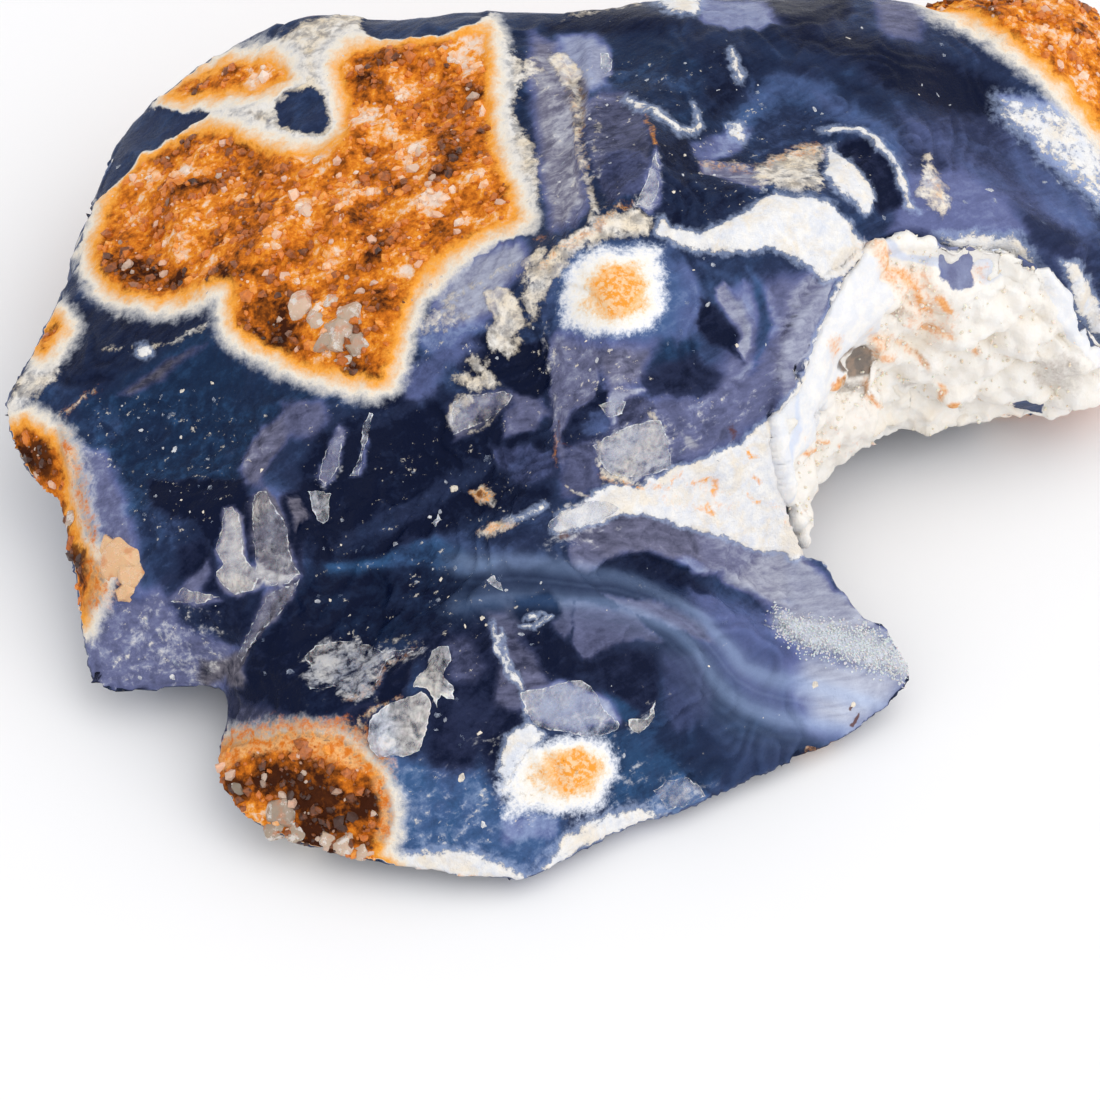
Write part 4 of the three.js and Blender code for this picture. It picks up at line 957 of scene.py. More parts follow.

# The hollow's crust, in pixels: orange stains, painted brown shade in its cavities and valleys, smooth rims,
# bare stone, a raised lip and blue-white patches.
CRUST_MARKS = {
    "stain": (
        area(0.45, 9, (862, 243), (874, 240), (886, 262), (900, 285), (890, 292), (872, 262)),
        streak(0.75, 8, 4, (880, 250), (890, 270), (903, 274), (915, 288), (920, 300), (934, 316)),
        streak(0.8, 4, 3, (936, 296), (946, 302), (951, 312)),
        streak(0.8, 5, 2, (917, 328), (926, 333), (940, 331), (955, 338)),
        area(0.3, 16, (886, 262), (930, 268), (955, 300), (960, 335), (930, 345), (895, 320)),
        area(0.4, 10, (868, 330), (900, 335), (895, 365), (872, 365)),
        streak(0.6, 5, 2, (872, 360), (882, 363), (894, 361)),
        streak(0.6, 5, 2, (902, 347), (915, 354), (929, 366)),
        streak(0.8, 5, 4, (834, 392), (842, 386), (850, 380)),
        streak(0.6, 6, 2, (872, 380), (874, 396), (886, 410)),
        streak(0.6, 5, 3, (940, 385), (945, 393), (940, 404)),
        area(1.1, 5, (950, 404), (960, 403), (961, 412), (952, 413)),
        area(0.6, 4, (974, 354), (982, 352), (982, 361), (975, 362)),
        area(0.7, 5, (849, 466), (859, 466), (859, 477), (850, 477)),
        streak(0.6, 5, 3, (808, 455), (820, 450), (838, 446)),
        area(0.12, 14, (795, 430), (830, 405), (880, 400), (885, 440), (850, 470), (800, 480)),
        area(0.35, 10, (965, 260), (990, 262), (990, 282), (968, 280)),
    ),
    # Painted shade, from dark to brown, in the crust's pits and valleys and where its lumps shade it.
    "cavity": (
        area(1.3, 4, (848, 360), (856, 352), (868, 352), (874, 364), (874, 377), (860, 378), (847, 374)),
        area(0.75, 6, (842, 379), (872, 379), (880, 396), (874, 402), (850, 400), (838, 394)),
        area(0.6, 5, (892, 306), (904, 300), (914, 312), (902, 322), (892, 318)),
        area(0.65, 5, (902, 388), (912, 383), (926, 382), (924, 388), (906, 397)),
        streak(0.55, 4, 3, (908, 350), (920, 356), (930, 366)),
        area(0.4, 9, (1008, 345), (1030, 342), (1036, 352), (1014, 356)),
        area(0.55, 10, (1030, 366), (1060, 352), (1090, 366), (1080, 392), (1052, 398), (1036, 386)),
        streak(0.5, 5, 3, (1012, 272), (1034, 296), (1052, 320), (1070, 344), (1096, 368)),
        streak(0.5, 6, 4, (868, 405), (878, 425)),
        streak(0.4, 8, 5, (960, 380), (976, 400), (965, 425)),
    ),
    "smooth": (
        area(
            1, 5, (700, 440), (774, 415), (799, 388), (806, 370), (817, 336), (841, 287), (862, 254),
            (876, 262), (891, 300), (884, 326), (867, 350), (853, 360), (850, 377), (833, 394), (821, 415),
            (816, 440), (796, 462), (790, 500), (760, 520),
        ),
        area(
            1, 5, (1040, 272), (1052, 262), (1068, 262), (1066, 285), (1078, 318), (1092, 345), (1110, 352),
            (1110, 378), (1084, 356), (1058, 318),
        ),
    ),
    "stone": (
        area(
            1, 3, (740, 455), (774, 412), (797, 388), (804, 369), (814, 336), (839, 286), (861, 253),
            (850, 228), (760, 230), (740, 350),
        ),
        area(1, 6, (936, 238), (940, 256), (940, 278), (956, 290), (974, 284), (980, 262), (982, 240)),
        area(1, 4, (1018, 225), (1020, 262), (1028, 280), (1040, 268), (1050, 258), (1044, 230)),
        area(1, 4, (1066, 255), (1064, 285), (1076, 318), (1090, 345), (1120, 350), (1120, 260)),
        area(0.9, 4, (1006, 430), (1012, 412), (1024, 404), (1046, 408), (1044, 420), (1024, 428)),
    ),
    "lip": (
        streak(1, 6, 9, (771, 408), (776, 440), (786, 480), (792, 510), (800, 530), (806, 548)),
        streak(
            0.6, 5, 6, (862, 250), (884, 246), (930, 240), (1012, 246), (1050, 275), (1080, 322),
            (1100, 352),
        ),
    ),
    "pale": (
        area(0.8, 5, (880, 240), (905, 252), (948, 260), (946, 275), (910, 262), (884, 258)),
        streak(0.7, 6, 5, (812, 350), (800, 385), (796, 430), (788, 462)),
        area(0.6, 8, (970, 245), (1000, 238), (1015, 245), (1020, 275), (990, 290), (972, 280)),
        area(0.6, 12, (1080, 300), (1110, 320), (1110, 360), (1085, 340)),
        area(0.6, 10, (795, 520), (830, 500), (838, 515), (806, 545)),
    ),
}

# Round pits of the crust and of the stone: depth and width in millimetres, and the middle in pixels.
CRUST_HOLES = (
    (1.6, 3.6, (861, 366)), (0.7, 3.4, (922, 392)), (0.8, 2.6, (712, 490)), (0.5, 3.0, (985, 380)),
    (0.5, 3.0, (868, 405)), (0.4, 2.6, (835, 440)), (0.5, 2.4, (938, 330)),
)
STONE_HOLES = ((0.8, 2.6, (712, 490)),)

# Where small crystals stand along the wing's edge, in pixels.
WING_DRUSE = area(
    1, 12, (776, 612), (800, 620), (836, 626), (864, 629), (890, 640), (919, 660), (919, 682), (871, 668),
    (836, 658), (800, 647), (780, 632),
)


def linear(red, green, blue):
    """A screen colour, 0 to 255, as the linear colour that shaders use."""
    shares = [channel / 255 for channel in (red, green, blue)]
    return tuple(s / 12.92 if s <= 0.04045 else ((s + 0.055) / 1.055) ** 2.4 for s in shares) + (1.0,)


def colour(name, note, red, green, blue):
    return FloatVectorProperty(
        name=name, description=note, default=linear(red, green, blue), size=4, subtype="COLOR", min=0, max=1
    )


def length(name, note, millimetres):
    metres = millimetres * MM
    return FloatProperty(name=name, description=note, default=metres, unit="LENGTH", min=0, precision=5)


def how_many(name, note, number, lowest=0):
    return IntProperty(name=name, description=note, default=number, min=lowest)


def power(name, note, watts):
    return FloatProperty(name=name, description=note, default=watts, unit="POWER", min=0)


class StoneSettings(bpy.types.PropertyGroup):
    voxel: length("Skin step", "Size of the mesh's faces on the open side", 0.385)
    smoothing: how_many("Smoothing", "Passes that round the solid's facets", 12)
    face_limit: how_many("Face limit", "Most triangles in the stone", 194000, 1000)
    chips: how_many("Chips", "Shell-shaped scars of the break", 420)
    chip_depth: length("Chip depth", "Deepest scar", 0.6)
    loose_chips: how_many("Loose chips", "Small pale chips strewn on the stone", 350)
    loose_size: length("Loose chip size", "Half width of the largest strewn chip", 0.5)
    seed: IntProperty(name="Seed", description="Seed of the scars' places", default=7)


class RindSettings(bpy.types.PropertyGroup):
    grains: how_many("Grains", "Crystal grains on the rind", 8000)
    smallest: length("Smallest grain", "Half width of the finest grain", 0.15)
    largest: length("Largest grain", "Half width of the coarsest grain", 0.65)


class DruseSettings(bpy.types.PropertyGroup):
    voxel: length("Crust step", "Size of the crust's faces", 0.28)
    smoothing: how_many("Smoothing", "Passes that round the crust's facets", 6)
    points: how_many("Crystal points", "Small crystals in the hollow", 600)
    wing_points: how_many("Edge crystals", "Crystals along the wing's edge", 2600)
    point_length: length("Crystal length", "Longest crystal point", 0.75)


class ColourSettings(bpy.types.PropertyGroup):
    night: colour("Night", "Darkest facets", 9, 18, 44)
    steel: colour("Steel blue", "Blue facets", 52, 88, 132)
    lavender: colour("Lavender", "Lavender facets", 98, 107, 155)
    ash: colour("Ash", "Neutral grey veils", 122, 118, 130)
    pale: colour("Pale lace", "Palest bands", 180, 198, 232)
    chalk: colour("Chalk", "White skin and rims", 240, 237, 233)
    cream: colour("Cream", "Warm crust", 232, 214, 184)
    amber: colour("Amber", "Rim of the rind", 246, 164, 52)
    ochre: colour("Ochre", "Orange rind", 214, 116, 30)
    earth: colour("Earth", "Dark rind", 62, 28, 12)
    sugar: colour("Sugar", "Pale grains", 234, 208, 188)


class StageSettings(bpy.types.PropertyGroup):
    floor: colour("Floor", "The floor under the stone", 240, 240, 242)
    key: power("Key light", "Power of the large soft light", 3.35)
    fill: power("Front light", "Power of the light before the stone", 5.6)
    sky: FloatProperty(name="Sky", description="Strength of the white surroundings", default=0.92, min=0)


# How much a noise is spread to reach from 0 to 1, and the least share of a mark at which it shows in full.
NOISE_SPREAD = 2.3
NEAR_MARK = 0.12
QUARTZ_IOR = 1.54

# The sockets of a Mix node that mixes colours.
MIX_SHARE = 0
MIX_FIRST = 6
MIX_SECOND = 7
MIX_RESULT = 2


class Wire:
    """A socket of a node tree that Python's arithmetic works on."""

    def __init__(self, finish, socket):
        self.finish = finish
        self.socket = socket

    def math(self, operation, *others):
        return self.finish.node("ShaderNodeMath", {"operation": operation}, dict(enumerate((self, *others))))

    def __add__(self, other):
        return self.math("ADD", other)

    def __radd__(self, other):
        return self.math("ADD", other)

    def __sub__(self, other):
        return self.math("SUBTRACT", other)

    def __rsub__(self, other):
        return self.finish.node("ShaderNodeMath", {"operation": "SUBTRACT"}, {0: other, 1: self})

    def __mul__(self, other):
        return self.math("MULTIPLY", other)

    def highest(self, other):
        return self.math("MAXIMUM", other)

    def step(self, low, high):
        """Zero below low, one above high, and a smooth rise between them."""
        settings = {"interpolation_type": "SMOOTHSTEP"}
        return self.finish.node("ShaderNodeMapRange", settings, {0: self, 1: low, 2: high, 3: 0.0, 4: 1.0})

    def sway(self, amount):
        """How far the value is from one half, times an amount."""
        return (self - 0.5) * amount


class Finish:
    """A procedural material, built node by node."""

    def __init__(self, name):
        self.material = bpy.data.materials.new(name)
        self.material.use_nodes = True
        self.tree = self.material.node_tree
        self.tree.nodes.clear()
        self.place = self.node("ShaderNodeTexCoord", {}, {}, "Object")

    def node(self, kind, settings, inputs, output=0):
        """Adds one node: its settings are set first, then the values or links of its sockets."""
        made = self.tree.nodes.new(kind)
        for name, value in settings.items():
            if name == "stops":
                self.set_stops(made.color_ramp, value)
            else:
                setattr(made, name, value)
        for key, value in inputs.items():
            if isinstance(value, Wire):
                self.tree.links.new(value.socket, made.inputs[key])
            else:
                made.inputs[key].default_value = value
        return Wire(self, made.outputs[output])

    @staticmethod
    def set_stops(ramp, stops):
        while len(ramp.elements) < len(stops):
            ramp.elements.new(0.5)
        for element, (place, tint) in zip(ramp.elements, stops):
            element.position = place
            element.color = tint

    def ramp(self, share, stops):
        return self.node("ShaderNodeValToRGB", {"stops": stops}, {0: share})

    def mix(self, share, first, second):
        settings = {"data_type": "RGBA", "clamp_factor": True}
        inputs = {MIX_SHARE: share, MIX_FIRST: first, MIX_SECOND: second}
        return self.node("ShaderNodeMix", settings, inputs, MIX_RESULT)

    def attribute(self, name):
        return self.node("ShaderNodeAttribute", {"attribute_name": name}, {}, "Fac")

    def noise(self, millimetres, detail=3.0, roughness=0.55, distortion=0.0, stretch=None, turn=0.0):
        """Noise of a size, which a stretch draws out along a line turned about the upright."""
        place = self.place
        if stretch is not None:
            settings = {"vector_type": "TEXTURE"}
            drawn = tuple(1 / share for share in stretch)
            place = self.node("ShaderNodeMapping", settings, {0: place, 2: (0.0, 0.0, turn), 3: drawn})
        inputs = {
            "Vector": place, "Scale": 1 / (millimetres * MM), "Detail": detail, "Roughness": roughness,
            "Distortion": distortion,
        }
        return self.node("ShaderNodeTexNoise", {}, inputs)

    def mottle(self, *shape):
        """Noise spread over the whole range from 0 to 1."""
        return self.noise(*shape).sway(NOISE_SPREAD) + 0.5

    def mark(self, name, low, high, *unrest, gate=NEAR_MARK):
        """A stored mark with ragged edges: the unrest moves them, but draws nothing away from the mark."""
        share = self.attribute(name)
        reach = share
        for part in unrest:
            reach = reach + part
        return reach.step(low, high) * share.step(0.0, gate)

    def thin_lines(self, millimetres, width):
        """Wandering hairlines where a noise crosses its middle value."""
        middle = (self.noise(millimetres, 3, 0.5, 0.4) - 0.5).math("ABSOLUTE")
        return (width - middle).step(0.0, width)

    def dots(self, millimetres, radius, share):
        """Round dots in some of the cells of a random grid: radius and share are parts of one."""
        inputs = {"Vector": self.place, "Scale": 1 / (millimetres * MM)}
        nearness = self.node("ShaderNodeTexVoronoi", {"feature": "F1"}, inputs, "Distance")
        lot = self.node("ShaderNodeTexVoronoi", {"feature": "F1"}, inputs, "Color")
        red = self.node("ShaderNodeSeparateColor", {}, {0: lot}, 0)
        green = self.node("ShaderNodeSeparateColor", {}, {0: lot}, 1)
        size = green * radius * 0.7 + radius * 0.3
        return (size - nearness).step(0.0, radius * 0.4) * (share - red).step(0.0, 0.05)

    def bump(self, height, strength, millimetres):
        inputs = {"Height": height, "Strength": strength, "Distance": millimetres * MM}
        return self.node("ShaderNodeBump", {}, inputs)

    def shade(self, tint, roughness, normal, constants, alpha=None):
        inputs = {"Base Color": tint, "Roughness": roughness, "Normal": normal, **constants}
        if alpha is not None:
            inputs["Alpha"] = alpha
        surface = self.node("ShaderNodeBsdfPrincipled", {}, inputs)
        self.node_output(surface)
        return self.material

    def node_output(self, surface):
        made = self.tree.nodes.new("ShaderNodeOutputMaterial")
        self.tree.links.new(surface.socket, made.inputs["Surface"])


def blended(first, second, share):
    return tuple(a + (b - a) * share for a, b in zip(first, second))


# Large numbers that scramble whole-number places, and masks for the bits that are kept.
HASH_AXES = (73856093, 19349663, 83492791)
HASH_SEED = 668265263
HASH_START = 374761393
HASH_TURN = 1274126177
HASH_BITS = 0xFFFFFFFF
LAST_BITS = 0xFFFFFF


def lattice(cells, seed):
    """Repeatable random numbers from 0 to 1 at whole-number places."""
    mixed = seed * HASH_SEED + HASH_START
    for axis, factor in enumerate(HASH_AXES):
        mixed = mixed ^ (cells[..., axis] * factor)
    mixed = (mixed ^ (mixed >> 13)) & HASH_BITS
    mixed = (mixed * HASH_TURN) & HASH_BITS
    mixed = (mixed ^ (mixed >> 16)) & LAST_BITS
    return mixed / LAST_BITS


def noise(points, size, seed=0):
    """Smooth random values from -1 to 1 that change over the given size."""
    spots = points / size
    base = np.floor(spots).astype(np.int64)
    part = spots - base
    part = part * part * (3 - 2 * part)
    total = np.zeros(len(points))
    for corner in np.ndindex(2, 2, 2):
        weight = np.prod(np.where(np.array(corner) == 1, part, 1 - part), axis=1)
        total += weight * lattice(base + np.array(corner), seed)
    return total * 2 - 1


def rough(points, size, octaves, seed=0):
    """Noise of several sizes, each half as wide and half as strong as the one before."""
    parts = [noise(points, size / 2**k, seed + k) / 2**k for k in range(octaves)]
    return sum(parts) / (2 - 2 ** (1 - octaves))


def pebbles(points, size, seed=0):
    """Distance to the nearest random seed, in cell widths."""
    spots = points / size
    base = np.floor(spots).astype(np.int64)
    nearest = np.full(len(points), np.inf)
    for step in np.ndindex(3, 3, 3):
        cell = base + np.array(step) - 1
        middle = np.stack([lattice(cell, seed + axis) for axis in range(3)], axis=1)
        nearest = np.minimum(nearest, np.linalg.norm(spots - cell - middle, axis=1))
    return nearest


def wander(points, size, seed, pixels):
    """Shifts of places across and down that change over the given size."""
    return np.stack([rough(points, size, 3, seed), rough(points, size, 3, seed + 10)], axis=1) * pixels


def ease(values, low, high):
    share = np.clip((values - low) / (high - low), 0, 1)
    return share * share * (3 - 2 * share)


def to_photo(points):
    """Where points fall in the photograph, in pixels, and how far they are from its camera."""
    offset = points - EYE
    depth = offset @ AHEAD
    across = PHOTO / 2 + FOCAL * (offset @ TO_RIGHT) / depth
    down = PHOTO / 2 - FOCAL * (offset @ UPWARD) / depth
    return np.stack([across, down], axis=1), depth


def photo_ray(place):
    """Direction from the camera through a pixel."""
    across = (place[0] - PHOTO / 2) / FOCAL
    down = (place[1] - PHOTO / 2) / FOCAL
    return Vector(AHEAD + TO_RIGHT * across - UPWARD * down).normalized()


def inside(places, corners):
    """Distance to a closed outline, positive inside it."""
    ring = np.array(corners, float)
    nearest = np.full(len(places), np.inf)
    within = np.zeros(len(places), bool)
    for start, end in zip(ring, np.roll(ring, -1, axis=0)):
        along = end - start
        offset = places - start
        share = np.clip(offset @ along / (along @ along), 0, 1)
        away = np.hypot(*(offset - share[:, None] * along).T)
        nearest = np.minimum(nearest, away)
        if along[1] != 0:
            crossing = (start[1] > places[:, 1]) != (end[1] > places[:, 1])
            within ^= crossing & (places[:, 0] < start[0] + offset[:, 1] * along[0] / along[1])
    return np.where(within, nearest, -nearest)


def walked_shares(line):
    """Lengths of a path's spans, and the share of the path walked at each of its points."""
    spans = np.linalg.norm(np.diff(line, axis=0), axis=1)
    return spans, np.concatenate([[0], np.cumsum(spans)]) / spans.sum()


def beside(places, path):
    """Distance to an open path, positive on its left as walked, and the share of the path walked there."""
    line = np.array(path, float)
    spans, walked = walked_shares(line)
    nearest = np.full(len(places), np.inf)
    side = np.ones(len(places))
    share = np.zeros(len(places))
    for k, span in enumerate(spans):
        along = line[k + 1] - line[k]
        offset = places - line[k]
        part = np.clip(offset @ along / span**2, 0, 1)
        away = np.hypot(*(offset - part[:, None] * along).T)
        closer = away < nearest
        nearest = np.where(closer, away, nearest)
        side = np.where(closer, -np.sign(along[0] * offset[:, 1] - along[1] * offset[:, 0]), side)
        share = np.where(closer, walked[k] + part * (walked[k + 1] - walked[k]), share)
    return nearest * side, share


def near(places, points, margin):
    """Indices of the places within a margin of the points' box."""
    corners = np.array(points, float)
    inbox = (places > corners.min(0) - margin) & (places < corners.max(0) + margin)
    return np.flatnonzero(inbox.all(axis=1))


def cover(places, marks, spread=1.0):
    """How fully the marks cover each place: about a half on their edges. A spread widens their fades."""
    total = np.zeros(len(places))
    for mark in marks:
        soft = mark.soft * spread
        chosen = near(places, mark.points, mark.half + soft * 2)
        if mark.half:
            away, share = beside(places[chosen], mark.points)
            taper = ease(share, -0.02, 0.12) * ease(1 - share, -0.02, 0.12)
            inward = mark.half * (0.35 + 0.65 * taper) - np.abs(away)
        else:
            inward = inside(places[chosen], mark.points)
        total[chosen] = np.maximum(total[chosen], mark.amount * ease(inward, -soft, soft))
    return total


def link(name, mesh):
    piece = bpy.data.objects.new(name, mesh)
    bpy.context.scene.collection.objects.link(piece)
    return piece


def shade_faces(mesh, smooth):
    mesh.polygons.foreach_set("use_smooth", np.full(len(mesh.polygons), smooth))


def mesh_of(name, points, faces, smooth=True):
    """A mesh from an array of points and an array of faces with equal numbers of corners."""
    mesh = bpy.data.meshes.new(name)
    corners = faces.shape[1]
    mesh.vertices.add(len(points))
    mesh.vertices.foreach_set("co", np.asarray(points, np.float32).ravel())
    mesh.loops.add(faces.size)
    mesh.loops.foreach_set("vertex_index", faces.astype(np.int32).ravel())
    mesh.polygons.add(len(faces))
    mesh.polygons.foreach_set("loop_start", np.arange(0, faces.size, corners, dtype=np.int32))
    mesh.update(calc_edges=True)
    mesh.validate()
    shade_faces(mesh, smooth)
    return mesh


def bake_modifiers(piece):
    """Keeps what the modifiers make as the piece's own mesh."""
    evaluated = piece.evaluated_get(bpy.context.evaluated_depsgraph_get())
    made = bpy.data.meshes.new_from_object(evaluated)
    piece.modifiers.clear()
    piece.data = made


def points_of(mesh):
    values = np.empty(len(mesh.vertices) * 3, np.float32)
    mesh.vertices.foreach_get("co", values)
    return values.reshape(-1, 3).astype(float)


def normals_of(mesh):
    values = np.empty(len(mesh.vertices) * 3, np.float32)
    mesh.vertex_normals.foreach_get("vector", values)
    return values.reshape(-1, 3).astype(float)


def triangles_of(mesh):
    mesh.calc_loop_triangles()
    values = np.empty(len(mesh.loop_triangles) * 3, np.int32)
    mesh.loop_triangles.foreach_get("vertices", values)
    return values.reshape(-1, 3)


def move_points(mesh, points):
    mesh.vertices.foreach_set("co", points.astype(np.float32).ravel())
    mesh.update()


def above_floor(points, lowest=0.0):
    """The same points, those that were lower raised to the lowest height."""
    points[:, 2] = np.maximum(points[:, 2], lowest)
    return points


def store(mesh, values):
    """Keeps values on the mesh's points under their names, for the finish to read."""
    for name, numbers in values.items():
        layer = mesh.attributes.new(name, "FLOAT", "POINT")
        layer.data.foreach_set("value", np.asarray(numbers, np.float32))


def stored(mesh, name):
    values = np.empty(len(mesh.vertices), np.float32)
    mesh.attributes[name].data.foreach_get("value", values)
    return values.astype(float)


def welded_copy(node_name, piece_name):
    """A new piece with the CAD node's shape, its split corners joined."""
    mesh = bpy.data.meshes.new(piece_name)
    shape = bmesh.new()
    shape.from_mesh(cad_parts[node_name].data)
    bmesh.ops.remove_doubles(shape, verts=shape.verts, dist=0.001 * MM)
    shape.to_mesh(mesh)
    shape.free()
    return link(piece_name, mesh)


def remeshed(piece, voxel, passes):
    remesh = piece.modifiers.new("skin", "REMESH")
    remesh.mode = "VOXEL"
    remesh.voxel_size = voxel
    smooth = piece.modifiers.new("round", "SMOOTH")
    smooth.factor = 0.5
    smooth.iterations = passes
    bake_modifiers(piece)


def seen_share(points, normals):
    """One where the photograph shows the surface, and zero where it can't."""
    places, depth = to_photo(points)
    towards = EYE - points
    towards /= np.linalg.norm(towards, axis=1)[:, None]
    facing = (normals * towards).sum(axis=1)
    cell = 6.0
    margin = 60.0
    columns = int((PHOTO + 2 * margin) / cell)
    spot = np.clip(((places + margin) / cell).astype(int), 0, columns - 1)
    slot = spot[:, 0] * columns + spot[:, 1]
    front = np.full(columns * columns, np.inf)
    np.minimum.at(front, slot, depth)
    covered = depth > front[slot] + 3.0 * MM
    over = np.maximum(places.max(axis=1) - PHOTO, -places.min(axis=1))
    return ease(facing, 0.0, 0.18) * ~covered * (1 - ease(over, 5.0, 45.0))


def roughen_unseen(mesh):
    """Breaks up the sides that the photograph doesn't show: shallow hollows between lumps, above the foot."""
    points = points_of(mesh)
    normals = normals_of(mesh)
    hidden = 1 - seen_share(points, normals)
    hidden = hidden * (1 - ease(-normals[:, 2], 0.5, 0.9))
    depth = 1.1 + 1.6 * rough(points, 13 * MM, 2, 121) + 0.7 * rough(points, 4 * MM, 3, 125)
    folds = np.abs(rough(points, 8 * MM, 2, 131))
    depth = np.clip(depth + 1.2 * ease(0.12 - folds, 0.0, 0.12), 0, 2.6) * MM
    move_points(mesh, above_floor(points - normals * (depth * hidden)[:, None]))


def decimate_unseen(piece, limit):
    """Thins the mesh where the photograph doesn't show it, until the whole is under the limit."""
    mesh = piece.data
    share = seen_share(points_of(mesh), normals_of(mesh))
    group = piece.vertex_groups.new(name="unseen")
    group.add(np.flatnonzero(share < 0.05).tolist(), 1.0, "REPLACE")
    thin = piece.modifiers.new("thin", "DECIMATE")
    thin.ratio = min(1.0, limit / len(triangles_of(mesh)))
    thin.vertex_group = group.name
    thin.use_collapse_triangulate = True
    bake_modifiers(piece)


def chips(points, settings, random):
    """Shell-shaped scars: each is a shallow dish, and ridges stay where dishes meet."""
    carved = np.zeros(len(points))
    for _ in range(settings.chips):
        middle = points[random.integers(len(points))]
        radius = (1.0 + 6.5 * random.random() ** 2) * MM
        depth = settings.chip_depth * random.uniform(0.4, 1.0) * (0.25 + 0.75 * radius / (7.5 * MM))
        chosen = np.flatnonzero((np.abs(points - middle) < radius).all(axis=1))
        away = np.linalg.norm(points[chosen] - middle, axis=1) / radius
        carved[chosen] = np.maximum(carved[chosen], depth * np.clip(1 - away**2, 0, 1))
    return carved


def step_heights(places):
    """Small steps of the break, in metres, from the table of steps."""
    height = np.zeros(len(places))
    for rise, fall, path in STEPS:
        chosen = near(places, path, fall * 3)
        away, share = beside(places[chosen], path)
        taper = ease(share, 0.0, 0.15) * ease(1 - share, 0.0, 0.15)
        raised = np.exp(-np.clip(away, 0, None) / fall) * ease(away, -1.5, 1.5)
        sunk = np.exp(np.clip(away, None, 0) / (fall * 0.6)) * ease(-away, -1.5, 1.5)
        height[chosen] += rise * MM * taper * (raised - 0.4 * sunk)
    return height


def by_side(seen, shown, hidden):
    """The shown values where the photograph sees the surface, and the hidden ones elsewhere."""
    return seen * shown + (1 - seen) * hidden


def rind_depth(points, normals, places, seen, bare):
    """Distance into the rind, in millimetres: negative outside it."""
    plan = points[:, :2] / MM
    hidden = np.full(len(points), -RIND_REACH)
    for outline in HIDDEN_RIND:
        hidden = np.maximum(hidden, inside(plan, outline))
    under = 9 * rough(points, 26 * MM, 2, 11) + 1.5
    under = under - 9 * ease(normals[:, 2], -0.8, -0.3) - 9 * ease(-plan[:, 1], 5, 15)
    hidden = np.maximum(hidden, under)
    shown = np.full(len(points), -RIND_REACH)
    for outline in RIND_AREAS:
        chosen = near(places, outline, RIND_REACH * PIXELS_PER_MM)
        shown[chosen] = np.maximum(shown[chosen], inside(places[chosen], outline) / PIXELS_PER_MM)
    return np.clip(by_side(seen, shown - 6 * bare, hidden), -RIND_REACH, RIND_REACH)


def hidden_cover(points, size, seed, share):
    """Patches for the sides that the photograph doesn't show."""
    return ease(rough(points, size, 3, seed), 0.25 - share, 0.75 - share)


def facet_values(places):
    """Shade (with painted sheen and painted shade), blueness and small lift of the broken facets, laid one
    over the other.
    """
    shade = np.full(len(places), 0.3)
    steel = np.full(len(places), 0.6)
    lift = np.zeros(len(places))
    for order, facet in enumerate(FACETS):
        chosen = near(places, facet.points, facet.soft * 2)
        share = ease(inside(places[chosen], facet.points), -facet.soft, facet.soft)
        shade[chosen] += (facet.shade - shade[chosen]) * share
        steel[chosen] += (facet.steel - steel[chosen]) * share
        raised = FACET_LIFT * math.sin(FACET_TURN * order) * min(1.0, 3.0 / facet.soft)
        lift[chosen] += (raised - lift[chosen]) * share
    return shade, steel, lift


def eye_values(places):
    """How deep a place lies in an eye: below 0 outside it, from 0 to 1 across its ring, more in its core."""
    value = np.full(len(places), -1.0)
    for outer, core in EYES:
        chosen = near(places, outer, 24)
        ring = inside(places[chosen], outer)
        middle = inside(places[chosen], core)
        depth = np.where(ring < 0, ring / 18, ring / np.maximum(ring - middle, 1))
        value[chosen] = np.maximum(value[chosen], np.where(middle > 0, 1 + middle / 12, depth))
    return np.clip(value, -1, 2)


def reach_over(points):
    """Draws the stone's rim out over the edge of the crust, laid just above the solid."""
    places, _ = to_photo(points)
    path = [place for place, _ in LEDGE]
    _, walked = walked_shares(np.array(path, float))
    chosen = near(places, path, 40)
    away, share = beside(places[chosen], path)
    reach = np.interp(share, walked, [reach for _, reach in LEDGE]) * ease(away, -34, -4) * (away < 2)
    seen = seen_share(points, np.broadcast_to(-AHEAD, points.shape))[chosen]
    moving = (reach > 0.3) & (seen > 0.5)
    trees = [surface_tree(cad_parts[name]) for name in (STONE_NODE, CRUST_NODE)]
    for index, shift in zip(chosen[moving], reach[moving]):
        ray = photo_ray(places[index] + (shift, -0.2 * shift))
        hits = [tree.ray_cast(Vector(EYE), ray) for tree in trees]
        nearest = min((hit[3] for hit in hits if hit[0] is not None), default=None)
        if nearest is not None:
            rise = 0.4 * MM * min(1.0, shift / 12)
            points[index] = EYE + np.array(ray) * (nearest - rise)
    return points


def fill_corner(points):
    """Draws the rind at the frame's upper right corner up and back until it fills the corner."""
    places, _ = to_photo(points)
    share = ease(places[:, 0], *CORNER_ACROSS) * ease(places[:, 1], *CORNER_DOWN)
    share = share * ease(points[:, 2], *CORNER_HEIGHT)
    return points + np.outer(share * CORNER_RISE, UPWARD)


def lace_values(places):
    """Where a place lies across the lace: 0 on its upper line and 1 on its lower line."""
    from_upper = -beside(places, LACE_UPPER)[0]
    from_lower = -beside(places, LACE_LOWER)[0]
    gap = np.maximum(np.abs(from_upper - from_lower), 6.0)
    return np.clip(from_upper / gap, -1, 3)


